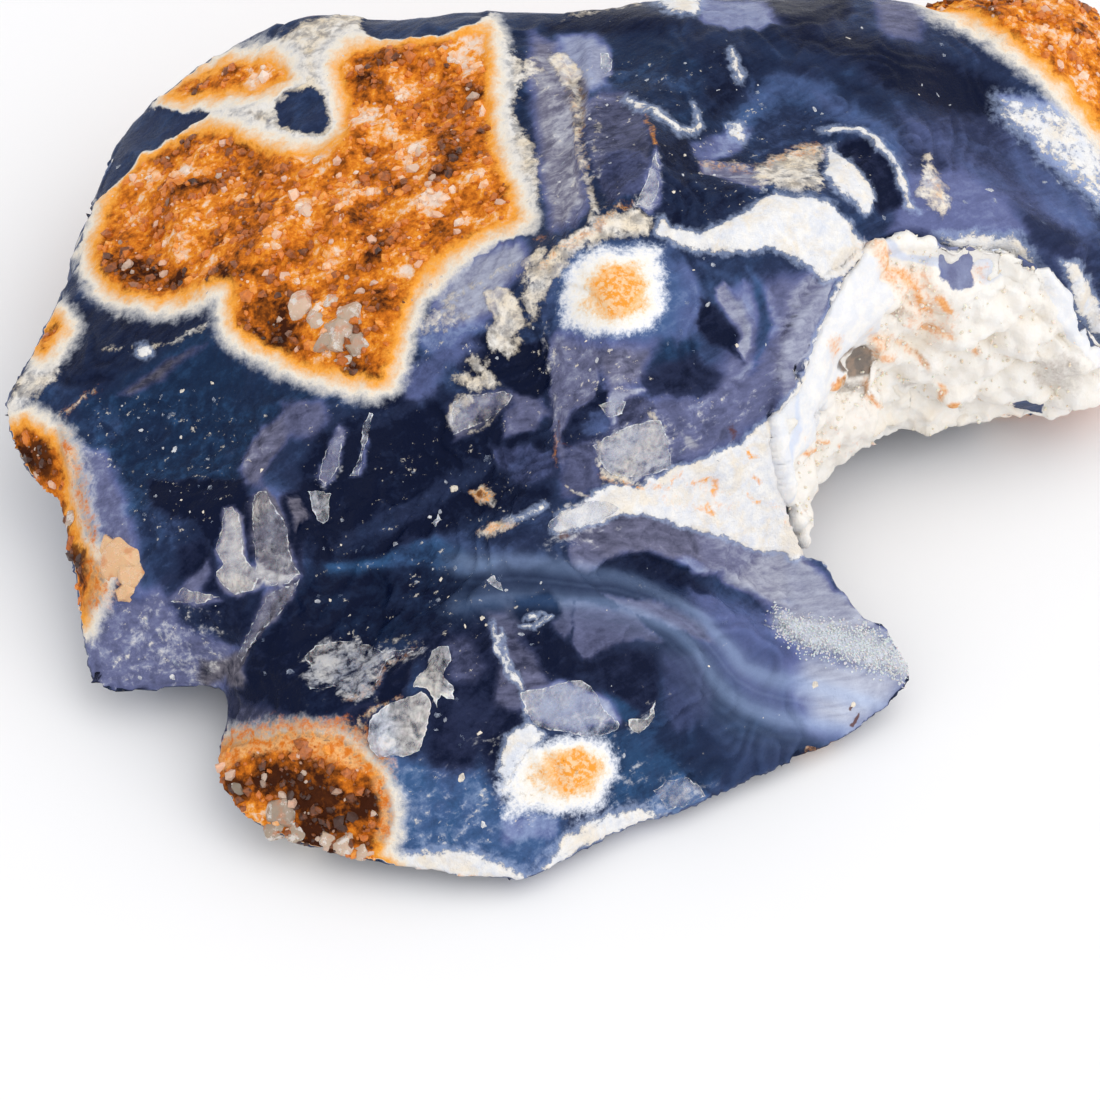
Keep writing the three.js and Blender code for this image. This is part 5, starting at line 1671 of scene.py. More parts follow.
def edge_values(mesh, points, normals):
    """How sharply the surface bends at each point: positive on ridges, negative in grooves."""
    pairs = np.empty(len(mesh.edges) * 2, np.int32)
    mesh.edges.foreach_get("vertices", pairs)
    first, second = pairs.reshape(-1, 2).T

    def summed(for_first, for_second):
        return np.bincount(first, for_first, len(points)) + np.bincount(second, for_second, len(points))

    count = np.maximum(summed(None, None), 1)
    spans = np.linalg.norm(points[first] - points[second], axis=1)
    values = np.zeros(len(points))
    for axis in range(3):
        total = summed(points[second, axis], points[first, axis])
        values += (points[:, axis] - total / count) * normals[:, axis]
    bend = values / np.maximum(summed(spans, spans) / count, 0.01 * MM)
    for _ in range(2):
        bend = 0.5 * bend + 0.5 * summed(bend[second], bend[first]) / count
    return np.clip(bend / np.percentile(np.abs(bend), 95), -2, 2)


def mark_values(points, places, seen, bare):
    """How fully each kind of mark covers each point, on the seen and on the unseen sides."""
    covers = {}
    for name, spread in SPREADS.items():
        hidden = HIDDEN_SPECK if name == "speck" else 0.0
        if name in HIDDEN_MARKS:
            millimetres, seed, share, strength = HIDDEN_MARKS[name]
            hidden = hidden_cover(points, millimetres * MM, seed, share) * strength
        covers[name] = by_side(seen, cover(places, MARKS[name], spread), hidden)
        if name != "speck":
            covers[name] = covers[name] * (1 - bare)
    return covers


def relief(points, places, seen, rind, covers, lift, settings):
    """How far the skin stands out, in metres: scars, terraces and steps, crusts and pebbled rind."""
    crusted = np.maximum(covers["cream"], covers["white"])
    crusty = np.clip(crusted, 0, 1)
    smooth_share = (1 - rind) * (1 - 0.75 * crusty)
    height = -chips(points, settings, np.random.default_rng(settings.seed)) * smooth_share
    rises = 5 * rough(points, 9 * MM, 3, 111)
    terrace = np.floor(rises) + ease(rises - np.floor(rises), 0.3, 0.7) - rises
    height += terrace * 0.55 * MM * ease(rough(points, 7 * MM, 2, 115), -0.5, 0.3) * smooth_share
    height += (step_heights(places) + lift * smooth_share) * seen * (1 - 0.6 * rind)
    height += rough(points, 1.4 * MM, 3, 81) * 0.05 * MM * (1 + 1.5 * crusty)
    grain = pebbles(points, 1.1 * MM, 91)
    lumps = pebbles(points, 2.6 * MM, 95)
    height += rind * ((0.5 - grain) * 0.3 + (0.6 - lumps) * 0.5 + rough(points, 6 * MM, 2, 97) * 0.4) * MM
    height += crusty * (1 - rind) * (0.5 - pebbles(points, 0.8 * MM, 99)) * 0.1 * MM
    height += 0.14 * MM * ease(crusted, 0.35, 0.65) * (1 - rind)
    height -= hole_depths(points, STONE_HOLES, places) * seen
    return height


def make_stone(settings):
    """The stone's skin: the solid's shape, with the break's scars, steps and rind worked into it."""
    piece = welded_copy(STONE_NODE, "agate_body")
    remeshed(piece, settings.voxel, settings.smoothing)
    roughen_unseen(piece.data)
    decimate_unseen(piece, settings.face_limit)
    mesh = piece.data
    move_points(mesh, reach_over(fill_corner(points_of(mesh))))
    points = points_of(mesh)
    normals = normals_of(mesh)
    seen = seen_share(points, normals)
    seen = np.clip(seen + 0.35 * noise(points, 1.6 * MM, 3) * (seen < 0.99) * (seen > 0.01), 0, 1)
    wobble = wander(points, 1.3 * MM, 21, 5.0)
    places = to_photo(points)[0] + wobble
    bare = cover(places, MARKS["bare"]) * seen
    depth = rind_depth(points, normals, places, seen, bare)
    rind = ease(depth, -0.4, 0.6)
    shade, steel, lift = facet_values(places)
    shade += cover_sum(places, BANDS)
    covers = mark_values(points, places, seen, bare)
    hidden_lace = points[:, 2] / (6 * MM) + rough(points, 15 * MM, 2, 71) * 2.5
    hidden_lace_on = ease(rough(points, 18 * MM, 2, 75), 0.0, 0.3)
    height = relief(points, places, seen, rind, covers, lift, settings)
    moved = above_floor(points + normals * height[:, None])
    move_points(mesh, moved)
    ore = 0.5 + 0.45 * rough(points, 3.4 * MM, 2, 101) + 0.3 * rough(points, 1.1 * MM, 2, 105)
    store(mesh, {
        "shade": by_side(seen, shade, 0.34 + 0.3 * rough(points, 14 * MM, 3, 41)),
        "steel": by_side(seen, steel, 0.5 + 0.5 * rough(points, 20 * MM, 2, 45)),
        "ash": by_side(seen, np.maximum(-steel, 0), 0.25),
        "eye": by_side(seen, eye_values(places), -1.0),
        "lace": by_side(seen, lace_values(places - 0.75 * wobble), hidden_lace),
        "lace_on": by_side(seen, cover(places, (LACE_AREA,)), hidden_lace_on),
        "ore": ore + grain_spots(places) * seen * 0.8,
        "bend": edge_values(mesh, moved, normals_of(mesh)),
        "depth": depth,
        "rind_share": rind,
        **covers,
    })
    shade_faces(mesh, True)
    return piece


def cover_sum(places, marks):
    """The marks' amounts added together, for soft bands that may cross."""
    total = np.zeros(len(places))
    for mark in marks:
        total += cover(places, (mark,))
    return total


def grain_spots(places):
    total = np.zeros(len(places))
    for amount, middle, radius in GRAIN_SPOTS:
        total += amount * np.exp(-(np.linalg.norm(places - np.array(middle), axis=1) / radius) ** 2)
    return total


def hole_depths(points, holes, places):
    """Depths of round pits: depth and width in millimetres, and the middle in pixels."""
    total = np.zeros(len(points))
    for depth, width, middle in holes:
        away = np.linalg.norm(places - np.array(middle), axis=1) / PIXELS_PER_MM
        total += depth * MM * np.exp(-((away / (width / 2)) ** 2))
    return total


# Ramps of the rind's grains, of the rind's rim and of the eyes: each stop's place, two colours and how
# much of the second.
ORE_STOPS = (
    (0.08, "earth", "ochre", 0.0), (0.26, "earth", "ochre", 0.3), (0.42, "earth", "ochre", 0.75),
    (0.54, "ochre", "amber", 0.15), (0.66, "ochre", "amber", 0.7), (0.78, "amber", "sugar", 0.55),
    (0.92, "sugar", "chalk", 0.2),
)
RIM_STOPS = (
    (0.0, "chalk", "pale", 0.8), (0.2, "chalk", "pale", 0.15), (0.38, "chalk", "cream", 0.5),
    (0.54, "cream", "amber", 0.5), (0.64, "cream", "amber", 0.95), (0.85, "amber", "ochre", 0.45),
)
EYE_STOPS = (
    (0.16, "steel", "pale", 0.9), (0.34, "pale", "chalk", 0.7), (0.42, "pale", "chalk", 1.0),
    (0.5, "chalk", "cream", 0.35), (0.58, "cream", "amber", 0.3), (0.66, "cream", "amber", 0.75),
)

# Colours that aren't on the panel: dark and brown painted shade in the crust's cavities, and grey quartz.
CAVITY_SHADE_DARK = (0.055, 0.03, 0.017, 1.0)
CAVITY_SHADE_BROWN = (0.22, 0.125, 0.065, 1.0)
QUARTZ_GREY = (0.3, 0.24, 0.18, 1.0)


class Palette(dict):
    """The panel's colours by name."""

    def between(self, first, second, share):
        return blended(self[first], self[second], share)


def ramp_between(colours, stops):
    return [(place, colours.between(first, second, share)) for place, first, second, share in stops]


def named_colours():
    chosen = bpy.context.scene.agate_colours
    return Palette((name, tuple(getattr(chosen, name))) for name in ColourSettings.__annotations__)


def translucent(weight, millimetres):
    """Constants of quartz that scatters some light under its surface."""
    return {"IOR": QUARTZ_IOR, "Subsurface Weight": weight, "Subsurface Scale": millimetres * MM}


def stone_tint(finish, colours, shade, drift=0.0):
    """The bare stone's colour: from night to blue, lavender or ash, and from there to pale."""
    steps = ((0.0, 0.0), (0.22, 0.2), (0.5, 0.95))
    ramps = []
    for name, paler in (("steel", "pale"), ("lavender", "pale"), ("ash", "chalk")):
        stops = [(place, "night", name, share) for place, share in steps]
        stops += [(0.74, name, paler, 0.45), (1.0, name, paler, 0.95)]
        ramps.append(finish.ramp(shade, ramp_between(colours, stops)))
    stone = finish.mix(finish.attribute("steel") + drift, ramps[1], ramps[0])
    return finish.mix(finish.attribute("ash"), stone, ramps[2])


# The noises that all layers of the stone's finish share, from fine to broad.
Grain = namedtuple("Grain", "fine feather torn hackle mid broad")


def laced_stone(finish, colours, grain):
    """The bare stone, with the fine bands of the lace, painted highlight on its ridges and painted shade in
    its grooves.
    """
    veil = finish.mottle(0.7, 4, 0.62, 0.4, (0.14, 1.0, 1.0), 0.12)
    lace_on = finish.attribute("lace_on")
    drift = grain.broad.sway(0.1) + grain.hackle.sway(0.12) + grain.fine.sway(0.05)
    drift = drift + grain.mid.sway(finish.attribute("speck") * 0.2 + 0.06)
    shade = finish.attribute("shade") + drift * (1.0 - lace_on * 0.65)
    # Painted highlight and shade: ridges a little paler and grooves a little darker, by the bend.
    shade = shade + finish.attribute("bend") * 0.05 - 0.07
    shade = shade + veil.sway(finish.attribute("ash")) * 0.4
    stone = stone_tint(finish, colours, shade, grain.broad.sway(0.35))
    across = (finish.attribute("lace") + grain.mid.sway(0.015) + LACE_MARGIN) * (1 / LACE_SPAN)
    stops = [((place + LACE_MARGIN) / LACE_SPAN, (level, level, level, 1.0)) for place, level in LACE_STOPS]
    lace = finish.node("ShaderNodeSeparateColor", {}, {0: finish.ramp(across, stops)}, 0)
    lace_tint = finish.mix(shade * 1.3 + 0.06, colours.between("steel", "lavender", 0.15), colours["pale"])
    return finish.mix(lace * lace_on * 0.62, stone, lace_tint)


def frosted_stone(finish, colours, grain, stone):
    """Frost with painted highlight on sharp ridges, flecks and dust laid over the stone: its colour, the
    share of frost and highlight, and the loose grains'.
    """
    unrest = (grain.torn.sway(0.75), grain.hackle.sway(0.6), grain.mid.sway(0.5))
    frost = finish.mark("frost", 0.3, 0.95, *unrest, gate=0.2)
    # Painted highlight: sharp ridges are whitened along with the frost.
    ridges = (finish.attribute("bend") * 0.6 + grain.torn.sway(0.6)).step(0.95, 1.7)
    frost = frost.highest(ridges * 0.35)
    frost_tint = finish.mix(grain.mid, colours.between("ash", "pale", 0.5), colours["chalk"])
    stone = finish.mix(frost * 0.68, stone, frost_tint)
    speck = finish.attribute("speck")
    flecks = grain.torn * 0.5 + grain.hackle * 0.3 + grain.fine * 0.2 + grain.broad * 0.15 + speck * 0.1
    flecks = flecks.step(0.86, 0.94) * speck.step(0.1, 0.6)
    dust = finish.dots(0.5, 0.2, speck * 0.05).highest(finish.dots(1.5, 0.12, speck * 0.05))
    loose = dust.highest(flecks * 0.75)
    return finish.mix(loose * 0.75, stone, colours.between("cream", "chalk", 0.6)), frost, loose


def crusted_stone(finish, colours, grain, stone):
    """Cream and white crusts and rust laid over the stone: its colour and the crusts' share."""
    cream = finish.mark("cream", 0.36, 0.72, grain.torn.sway(0.7), grain.feather.sway(0.1))
    cream_tint = finish.mix(finish.mottle(1.8, 4, 0.6), colours["cream"], colours["chalk"])
    cream_tint = finish.mix(grain.torn.step(0.62, 0.95) * 0.5, cream_tint, colours["ash"])
    stone = finish.mix(cream * (grain.mid.step(0.2, 0.75) * 0.55 + 0.42), stone, cream_tint)
    unrest = (grain.torn.sway(0.5), grain.feather.sway(0.1))
    fringe = finish.mark("white", 0.0, 0.45, *unrest)
    stone = finish.mix(fringe * 0.5, stone, colours.between("lavender", "pale", 0.75))
    white = finish.mark("white", 0.4, 0.58, *unrest)
    white_tint = finish.mix(grain.mid * 1.3, colours.between("pale", "chalk", 0.6), colours["chalk"])
    warm = finish.mottle(2.4, 5, 0.62, 0.5).step(0.4, 0.85)
    white_tint = finish.mix(warm * 0.65, white_tint, colours.between("cream", "chalk", 0.3))
    stone = finish.mix(white * (grain.torn * 0.25 + 0.82), stone, white_tint)
    rust = finish.mark("rust", 0.22, 0.95, grain.torn.sway(0.55), grain.fine.sway(0.3))
    pale_rust = colours.between("amber", "cream", 0.35)
    rust_tint = finish.mix(grain.torn.step(0.3, 0.75), pale_rust, colours.between("amber", "ochre", 0.4))
    stone = finish.mix(rust * 0.8, stone, rust_tint)
    veins = (finish.thin_lines(0.8, 0.05) * finish.attribute("rust")).step(0.15, 0.6)
    return finish.mix(veins * 0.8, stone, colours["amber"]), cream.highest(white)


def stone_with_eyes(finish, colours, grain, stone):
    """The eyes' white rings and amber cores laid over the stone."""
    eye = finish.attribute("eye") + grain.feather.sway(0.4) + grain.torn.sway(0.4) + grain.mid.sway(0.2)
    ring_tint = finish.ramp((eye + 1.0) * (1 / 3.0), ramp_between(colours, EYE_STOPS))
    core = (eye + grain.torn.sway(0.5)).step(0.82, 1.12)
    core_mottle = finish.mottle(0.45, 5, 0.68).step(0.35, 0.68)
    pale_core = colours.between("cream", "amber", 0.3)
    core_tint = finish.mix(core_mottle, colours.between("amber", "ochre", 0.3), pale_core)
    return finish.mix(eye.step(-0.55, 0.12), stone, finish.mix(core * 0.9, ring_tint, core_tint))


def rinded_stone(finish, colours, grain, stone):
    """The rind with its rim, soil and glow laid over the stone: its colour and the rim's share."""
    depth = finish.attribute("depth") + grain.feather.sway(0.3) + grain.mid.sway(0.7) + grain.torn.sway(0.35)
    rim_tint = finish.ramp((depth + 2.6) * (1 / 4.0), ramp_between(colours, RIM_STOPS))
    stone = finish.mix(depth.step(-2.5, -1.0) * (1.0 - finish.attribute("ember") * 0.9), stone, rim_tint)
    ore = finish.attribute("ore") + finish.mottle(0.7, 4, 0.65).sway(0.5)
    stone = finish.mix(depth.step(-0.1, 0.7), stone, finish.ramp(ore, ramp_between(colours, ORE_STOPS)))
    soil = finish.mark("soil", 0.35, 0.8, grain.torn.sway(0.6))
    stone = finish.mix(soil * 0.85, stone, colours.between("earth", "ochre", 0.08))
    glow = finish.mark("ember", 0.2, 1.0, grain.torn.sway(0.9), grain.feather.sway(0.4))
    pale_glow = colours.between("amber", "cream", 0.35)
    glow_tint = finish.mix(grain.torn.step(0.3, 0.75), pale_glow, colours["ochre"])
    return finish.mix(glow * 0.9, stone, glow_tint), depth.step(-2.0, -1.2)


def agate_finish():
    """Banded stone with frost, crusts, eyes and rind, each laid over the one before."""
    colours = named_colours()
    finish = Finish("banded_agate")
    grain = Grain(
        fine=finish.mottle(0.28, 3, 0.65),
        feather=finish.mottle(0.32, 3, 0.7),
        torn=finish.mottle(0.8, 5, 0.68, 0.2),
        hackle=finish.mottle(0.7, 4, 0.68, 0.3, (0.16, 1.0, 1.0), 0.62),
        mid=finish.mottle(1.3, 5, 0.66, 0.4),
        broad=finish.mottle(5, 3, 0.6, 1.0),
    )
    stone = laced_stone(finish, colours, grain)
    # The frost's share includes the painted highlight on sharp ridges.
    stone, frost, loose = frosted_stone(finish, colours, grain, stone)
    stone, crust = crusted_stone(finish, colours, grain, stone)
    stone = stone_with_eyes(finish, colours, grain, stone)
    stone, rim = rinded_stone(finish, colours, grain, stone)
    crusty = crust.highest(rim)
    roughness = crusty * 0.34 + frost * 0.12 + 0.28 + grain.mid.sway(0.1)
    height = grain.fine * 0.25 + grain.torn * 0.35 + grain.hackle * 0.35
    height = height + crusty * (grain.feather * 0.6 + 0.9) + loose * 0.4
    normal = finish.bump(height, 0.6, 0.2)
    return finish.shade(stone, roughness, normal, {"IOR": QUARTZ_IOR, "Specular IOR Level": 0.05})


def scattered(mesh, weights, count, random):
    """Random places on the mesh, denser where the points' weights are higher: place, normal and weights."""
    points = points_of(mesh)
    normals = normals_of(mesh)
    corners = triangles_of(mesh)
    sides = points[corners[:, 1:]] - points[corners[:, :1]]
    areas = np.linalg.norm(np.cross(sides[:, 0], sides[:, 1]), axis=1) * weights[corners].mean(axis=1)
    running = np.cumsum(areas)
    chosen = np.searchsorted(running, random.random(count) * running[-1])
    parts = random.random((count, 2))
    parts = np.where(parts.sum(axis=1, keepdims=True) > 1, 1 - parts, parts)
    shares = np.column_stack([1 - parts.sum(axis=1), parts])
    picked = corners[chosen]
    spots = (points[picked] * shares[:, :, None]).sum(axis=1)
    ways = (normals[picked] * shares[:, :, None]).sum(axis=1)
    ways /= np.linalg.norm(ways, axis=1)[:, None]
    return spots, ways, picked[:, 0]


def turned(ways, random):
    """Three axes for each place: two across the normal, turned by chance, and the normal itself."""
    helper = np.where(np.abs(ways[:, 2:]) < 0.9, np.array([[0.0, 0.0, 1.0]]), np.array([[1.0, 0.0, 0.0]]))
    first = np.cross(helper, ways)
    first /= np.linalg.norm(first, axis=1)[:, None]
    second = np.cross(ways, first)
    angle = random.random(len(ways)) * math.tau
    across = first * np.cos(angle)[:, None] + second * np.sin(angle)[:, None]
    return np.stack([across, np.cross(ways, across), ways], axis=1)


def ball():
    """Corners and faces of a twenty-sided ball of radius one."""
    golden = (1 + math.sqrt(5)) / 2
    corners = []
    for first in (-1, 1):
        for second in (-golden, golden):
            corners += [(0, first, second), (first, second, 0), (second, 0, first)]
    corners = np.array(corners, float)
    corners /= np.linalg.norm(corners[0])
    apart = np.linalg.norm(corners[:, None] - corners[None], axis=2)
    side = apart[apart > 0.1].min() * 1.01
    faces = []
    for a, b, c in combinations(range(len(corners)), 3):
        if apart[a, b] < side and apart[b, c] < side and apart[a, c] < side:
            across = np.cross(corners[b] - corners[a], corners[c] - corners[a])
            faces.append((a, b, c) if np.dot(across, corners[a]) > 0 else (a, c, b))
    return corners, np.array(faces)


def repeated(corners, faces, spots, frames, sizes, random, jitter):
    """Copies of a small shape, each turned, scaled and dented by chance."""
    count = len(spots)
    shapes = np.repeat(corners[None], count, axis=0)
    shapes = shapes * (1 + jitter * (random.random((count, len(corners), 1)) * 2 - 1))
    shapes = shapes * sizes[:, None, :]
    places = np.einsum("nkc,ncd->nkd", shapes, frames) + spots[:, None, :]
    offsets = (np.arange(count) * len(corners))[:, None, None]
    return places.reshape(-1, 3), (faces[None] + offsets).reshape(-1, faces.shape[1])


def joined(shapes):
    """One shape from several: each has points, faces and then any values of its points."""
    starts = np.cumsum([0] + [len(shape[0]) for shape in shapes])
    faces = [shape[1] + start for shape, start in zip(shapes, starts)]
    points, _, *values = zip(*shapes)
    return [np.concatenate(part) for part in (points, faces, *values)]


def under_pixel(tree, place):
    """Where the photograph shows the surface at a pixel, and the surface's normal there."""
    spot, way, _, _ = tree.ray_cast(Vector(EYE), photo_ray(place))
    if spot is None:
        raise RuntimeError(f"no stone lies under the pixel {tuple(place)}")
    return tuple(spot), tuple(way)


def make_grains(settings, stone):
    """Sugary crystal grains half sunk in the rind."""
    random = np.random.default_rng(23)
    mesh = stone.data
    points = points_of(mesh)
    shown = np.maximum(points[:, 1] > 5 * MM, seen_share(points, normals_of(mesh)) > 0.5)
    weights = ease(stored(mesh, "depth"), 0.15, 1.0) * shown * (points[:, 2] > 1 * MM)
    spots, ways, source = scattered(mesh, weights, settings.grains, random)
    frames = turned(ways + random.normal(0, 0.3, ways.shape), random)
    frames /= np.linalg.norm(frames, axis=2)[:, :, None]
    span = settings.smallest + (settings.largest - settings.smallest) * random.random(len(spots)) ** 2.2
    sizes = span[:, None] * random.uniform(0.65, 1.25, (len(spots), 3))
    spots = spots - ways * (span * 0.25)[:, None]
    low = spots[:, 2] < span
    spots[:, 2] = np.where(low, np.maximum(spots[:, 2], span * 1.3), spots[:, 2])
    corners, faces = ball()
    places, sides = repeated(corners, faces, spots, frames, sizes, random, 0.28)
    grains = mesh_of("rind_grains", above_floor(places), sides, smooth=False)
    ore = stored(mesh, "ore")[source] + random.normal(0, 0.09, len(spots))
    clear = random.random(len(spots))
    store(grains, {"ore": np.repeat(ore, len(corners)), "clear": np.repeat(clear, len(corners))})
    return link("rind_grains", grains)


def grain_finish():
    """Iron-stained grains, a few of them clear or pale."""
    colours = named_colours()
    finish = Finish("iron_rind_grains")
    cloud = finish.noise(0.35, 3)
    ore = finish.attribute("ore") + cloud.sway(0.4)
    tint = finish.ramp(ore, ramp_between(colours, ORE_STOPS))
    pale = finish.attribute("clear").step(0.9, 0.94)
    tint = finish.mix(pale * 0.6, tint, colours["sugar"])
    normal = finish.bump(finish.noise(0.12, 2), 0.3, 0.05)
    roughness = finish.attribute("clear") * -0.25 + 0.5
    constants = {**translucent(0.12, 0.5), "Subsurface Radius": (1.2, 0.7, 0.4)}
    return finish.shade(tint, roughness, normal, constants)


def chunk_shape(random, cuts=9):
    """A lump with flat broken faces."""
    shape = bmesh.new()
    bmesh.ops.create_icosphere(shape, subdivisions=4, radius=1)
    corners = np.array([vertex.co for vertex in shape.verts])
    for _ in range(cuts):
        way = random.normal(size=3)
        way /= np.linalg.norm(way)
        reach = random.uniform(0.62, 0.86)
        over = np.clip(corners @ way - reach, 0, None)
        corners = corners - over[:, None] * way
    faces = np.array([[vertex.index for vertex in face.verts] for face in shape.faces])
    shape.free()
    return corners, faces


def surface_tree(piece):
    return BVHTree.FromObject(piece, bpy.context.evaluated_depsgraph_get())


def make_chunks(stone):
    """Clear grey and honey quartz lumps set in the rind."""
    random = np.random.default_rng(31)
    tree = surface_tree(stone)
    shapes = []
    for middle, radius, tint in CHUNKS:
        spot, way = under_pixel(tree, middle)
        corners, faces = chunk_shape(random)
        frames = turned(np.array([way]), random)
        sizes = radius * MM * random.uniform(0.75, 1.1, 3) * np.array((1.0, 1.0, 0.7))
        places = (corners * sizes) @ frames[0] + np.array(spot) - np.array(way) * radius * 0.3 * MM
        places += 0.03 * MM * rough(places, 0.5 * MM, 2, 7)[:, None]
        shapes.append((above_floor(places), faces, np.full(len(places), tint)))
    places, faces, tints = joined(shapes)
    mesh = mesh_of("rind_crystals", places, faces, smooth=False)
    store(mesh, {"tint": tints})
    return link("rind_crystals", mesh)


def chunk_finish():
    """Cloudy quartz that lets some light through."""
    colours = named_colours()
    finish = Finish("cloudy_quartz")
    cloud = finish.noise(0.9, 4, 0.6)
    honey = colours.between("chalk", "amber", 0.45)
    tint = finish.mix(finish.attribute("tint") + cloud.sway(0.3), QUARTZ_GREY, honey)
    tint = finish.mix(cloud.step(0.5, 0.65) * 0.7, tint, colours["chalk"])
    golden = colours.between("cream", "amber", 0.6)
    tint = finish.mix(finish.attribute("tint").step(1.0, 1.3) * 0.75, tint, golden)
    tint = finish.mix(finish.noise(1.6, 3).step(0.55, 0.7) * 0.5, tint, colours["ochre"])
    normal = finish.bump(finish.noise(0.4, 4), 0.4, 0.12)
    roughness = cloud.sway(0.2) + 0.26
    constants = {**translucent(0.1, 0.8), "Transmission Weight": 0.2}
    return finish.shade(tint, roughness, normal, constants)


# The plates' net in pixels, and how deep their undersides lie in the stone.
NET_STEP = 3.0
FLAKE_ROOT = 0.35 * MM


def jagged(points, random, depth=1.5):
    """The outline with small random teeth, in pixels."""
    corners = np.array(points, float)
    edge = []
    for start, end in zip(corners, np.roll(corners, -1, axis=0)):
        span = np.linalg.norm(end - start)
        pieces = max(1, int(round(span / NET_STEP)))
        across = np.array((-(end - start)[1], (end - start)[0])) / max(span, 1e-6)
        for k in range(pieces):
            push = 0 if k == 0 else random.uniform(-depth, depth)
            edge.append(start + (end - start) * k / pieces + across * push)
    return np.array(edge)


def ring_sums(faces, values):
    """For each corner, the sum of the values of the corners beside it in each of its faces."""
    total = np.zeros_like(values)
    for a, b in ((0, 1), (1, 2), (2, 0)):
        np.add.at(total, faces[:, a], values[faces[:, b]])
        np.add.at(total, faces[:, b], values[faces[:, a]])
    return total


def flake_mesh(flake, tree, random):
    """One plate: a fine net inside the jagged outline, lifted off the stone and closed underneath."""
    edge = jagged(flake.points, random)
    low, high = edge.min(0), edge.max(0)
    columns = np.arange(low[0] + NET_STEP / 2, high[0], NET_STEP)
    rows = np.arange(low[1] + NET_STEP / 2, high[1], NET_STEP)
    net = np.array([(x, y) for x in columns for y in rows]).reshape(-1, 2)
    net = net + random.uniform(-0.8, 0.8, net.shape)
    net = net[inside(net, edge) > 1.6]
    spots = np.concatenate([edge, net])
    loop = [(k, (k + 1) % len(edge)) for k in range(len(edge))]
    made = geometry.delaunay_2d_cdt([Vector(p) for p in spots], loop, [], 1, 1e-4)
    places = np.array([tuple(p) for p in made[0]])
    faces = np.array([face for face in made[2] if len(face) == 3])
    inward = np.abs(inside(places, edge))
    hits = [under_pixel(tree, place) for place in places]
    base = np.array([spot for spot, _ in hits])
    ways = np.array([way for _, way in hits])
    for _ in range(6):
        ways = ways + ring_sums(faces, ways)
        ways /= np.linalg.norm(ways, axis=1)[:, None]
    beside_each = np.maximum(ring_sums(faces, np.ones(len(base))), 1)[:, None]
    for _ in range(3):
        base = 0.5 * base + 0.5 * ring_sums(faces, base) / beside_each
    rises = flake.lift * (0.2 + 0.4 * ease(inward, 0.0, 9.0)) * MM
    upper = base + ways * (rises + 0.03 * MM * rough(base, 0.8 * MM, 2, 17))[:, None]
    lower = base - ways * FLAKE_ROOT
    across = np.cross(upper[faces[:, 1]] - upper[faces[:, 0]], upper[faces[:, 2]] - upper[faces[:, 0]])
    flipped = (across * ways[faces[:, 0]]).sum(axis=1) < 0
    faces = np.where(flipped[:, None], faces[:, ::-1], faces)
    directed = dict.fromkeys(pair for a, b, c in faces for pair in ((a, b), (b, c), (c, a)))
    rim = [pair for pair in directed if (pair[1], pair[0]) not in directed]
    count = len(places)
    sides = [(b, a, a + count) for a, b in rim] + [(b, a + count, b + count) for a, b in rim]
    all_faces = np.concatenate([faces, faces[:, ::-1] + count, np.array(sides)])
    rimness = np.concatenate([np.exp(-inward / NET_STEP), np.ones(count)])
    return above_floor(np.concatenate([upper, lower])), all_faces, rimness


def make_flakes(stone):
    """Thin translucent plates of stone with torn edges."""
    random = np.random.default_rng(47)
    tree = surface_tree(stone)
    shapes = []
    for flake in FLAKES:
        points, faces, rimness = flake_mesh(flake, tree, random)
        shapes.append((points, faces, rimness, np.full(len(points), flake.white)))
    points, faces, rimness, whiteness = joined(shapes)
    mesh = mesh_of("flakes", points, faces, smooth=False)
    store(mesh, {"rimness": rimness, "whiteness": whiteness})
    return link("flakes", mesh)


def flake_finish():
    """Frosty films that the stone shows through: grey-lavender in the middle, whiter where they thin out."""
    colours = named_colours()
    finish = Finish("frosty_flakes")
    cloud = finish.mottle(1.5, 5, 0.62, 0.6)
    streaks = finish.mottle(0.45, 4, 0.65, 0.3, (0.2, 1.0, 1.0), 1.3)
    whiteness = finish.attribute("whiteness")
    dim = colours.between("ash", "lavender", 0.4)
    bright = colours.between("pale", "chalk", 0.55)
    tint = finish.mix(whiteness * 0.95 + cloud.sway(0.5) + 0.08, dim, bright)
    warm = finish.mottle(8, 2, 0.5).step(0.35, 0.75)
    tint = finish.mix(warm * 0.5, tint, colours.between("cream", "chalk", 0.35))
    edge = (finish.attribute("rimness") + streaks.sway(0.9) + cloud.sway(0.5)).step(0.55, 1.15)
    tint = finish.mix(edge * 0.8, tint, colours.between("pale", "chalk", 0.75))
    tint = finish.mix(cloud.step(0.6, 0.95) * whiteness * 0.45, tint, colours["cream"])
    alpha = whiteness * 0.45 + cloud.sway(0.55) + streaks.sway(0.3) + edge * 0.4 + 0.17
    normal = finish.bump(streaks * 0.5 + cloud, 0.4, 0.12)
    constants = translucent(0.1, 0.8)
    return finish.shade(tint, cloud.sway(0.1) + 0.32, normal, constants, alpha=alpha.step(0.05, 0.95))


def lens(count=9):
    """A thin round chip of radius one: corners and triangles, its rim just under its seat."""
    turns = [k * math.tau / count for k in range(count)]
    corners = [(math.cos(turn), math.sin(turn), -0.1) for turn in turns]
    corners += [(0.6 * math.cos(turn), 0.6 * math.sin(turn), 0.1) for turn in turns]
    corners += [(0, 0, 0.13), (0, 0, -0.5)]
    faces = []
    for k in range(count):
        after = (k + 1) % count
        faces += [(k, after, after + count), (k, after + count, k + count)]
        faces += [(k + count, after + count, 2 * count), (after, k, 2 * count + 1)]
    return np.array(corners), np.array(faces)


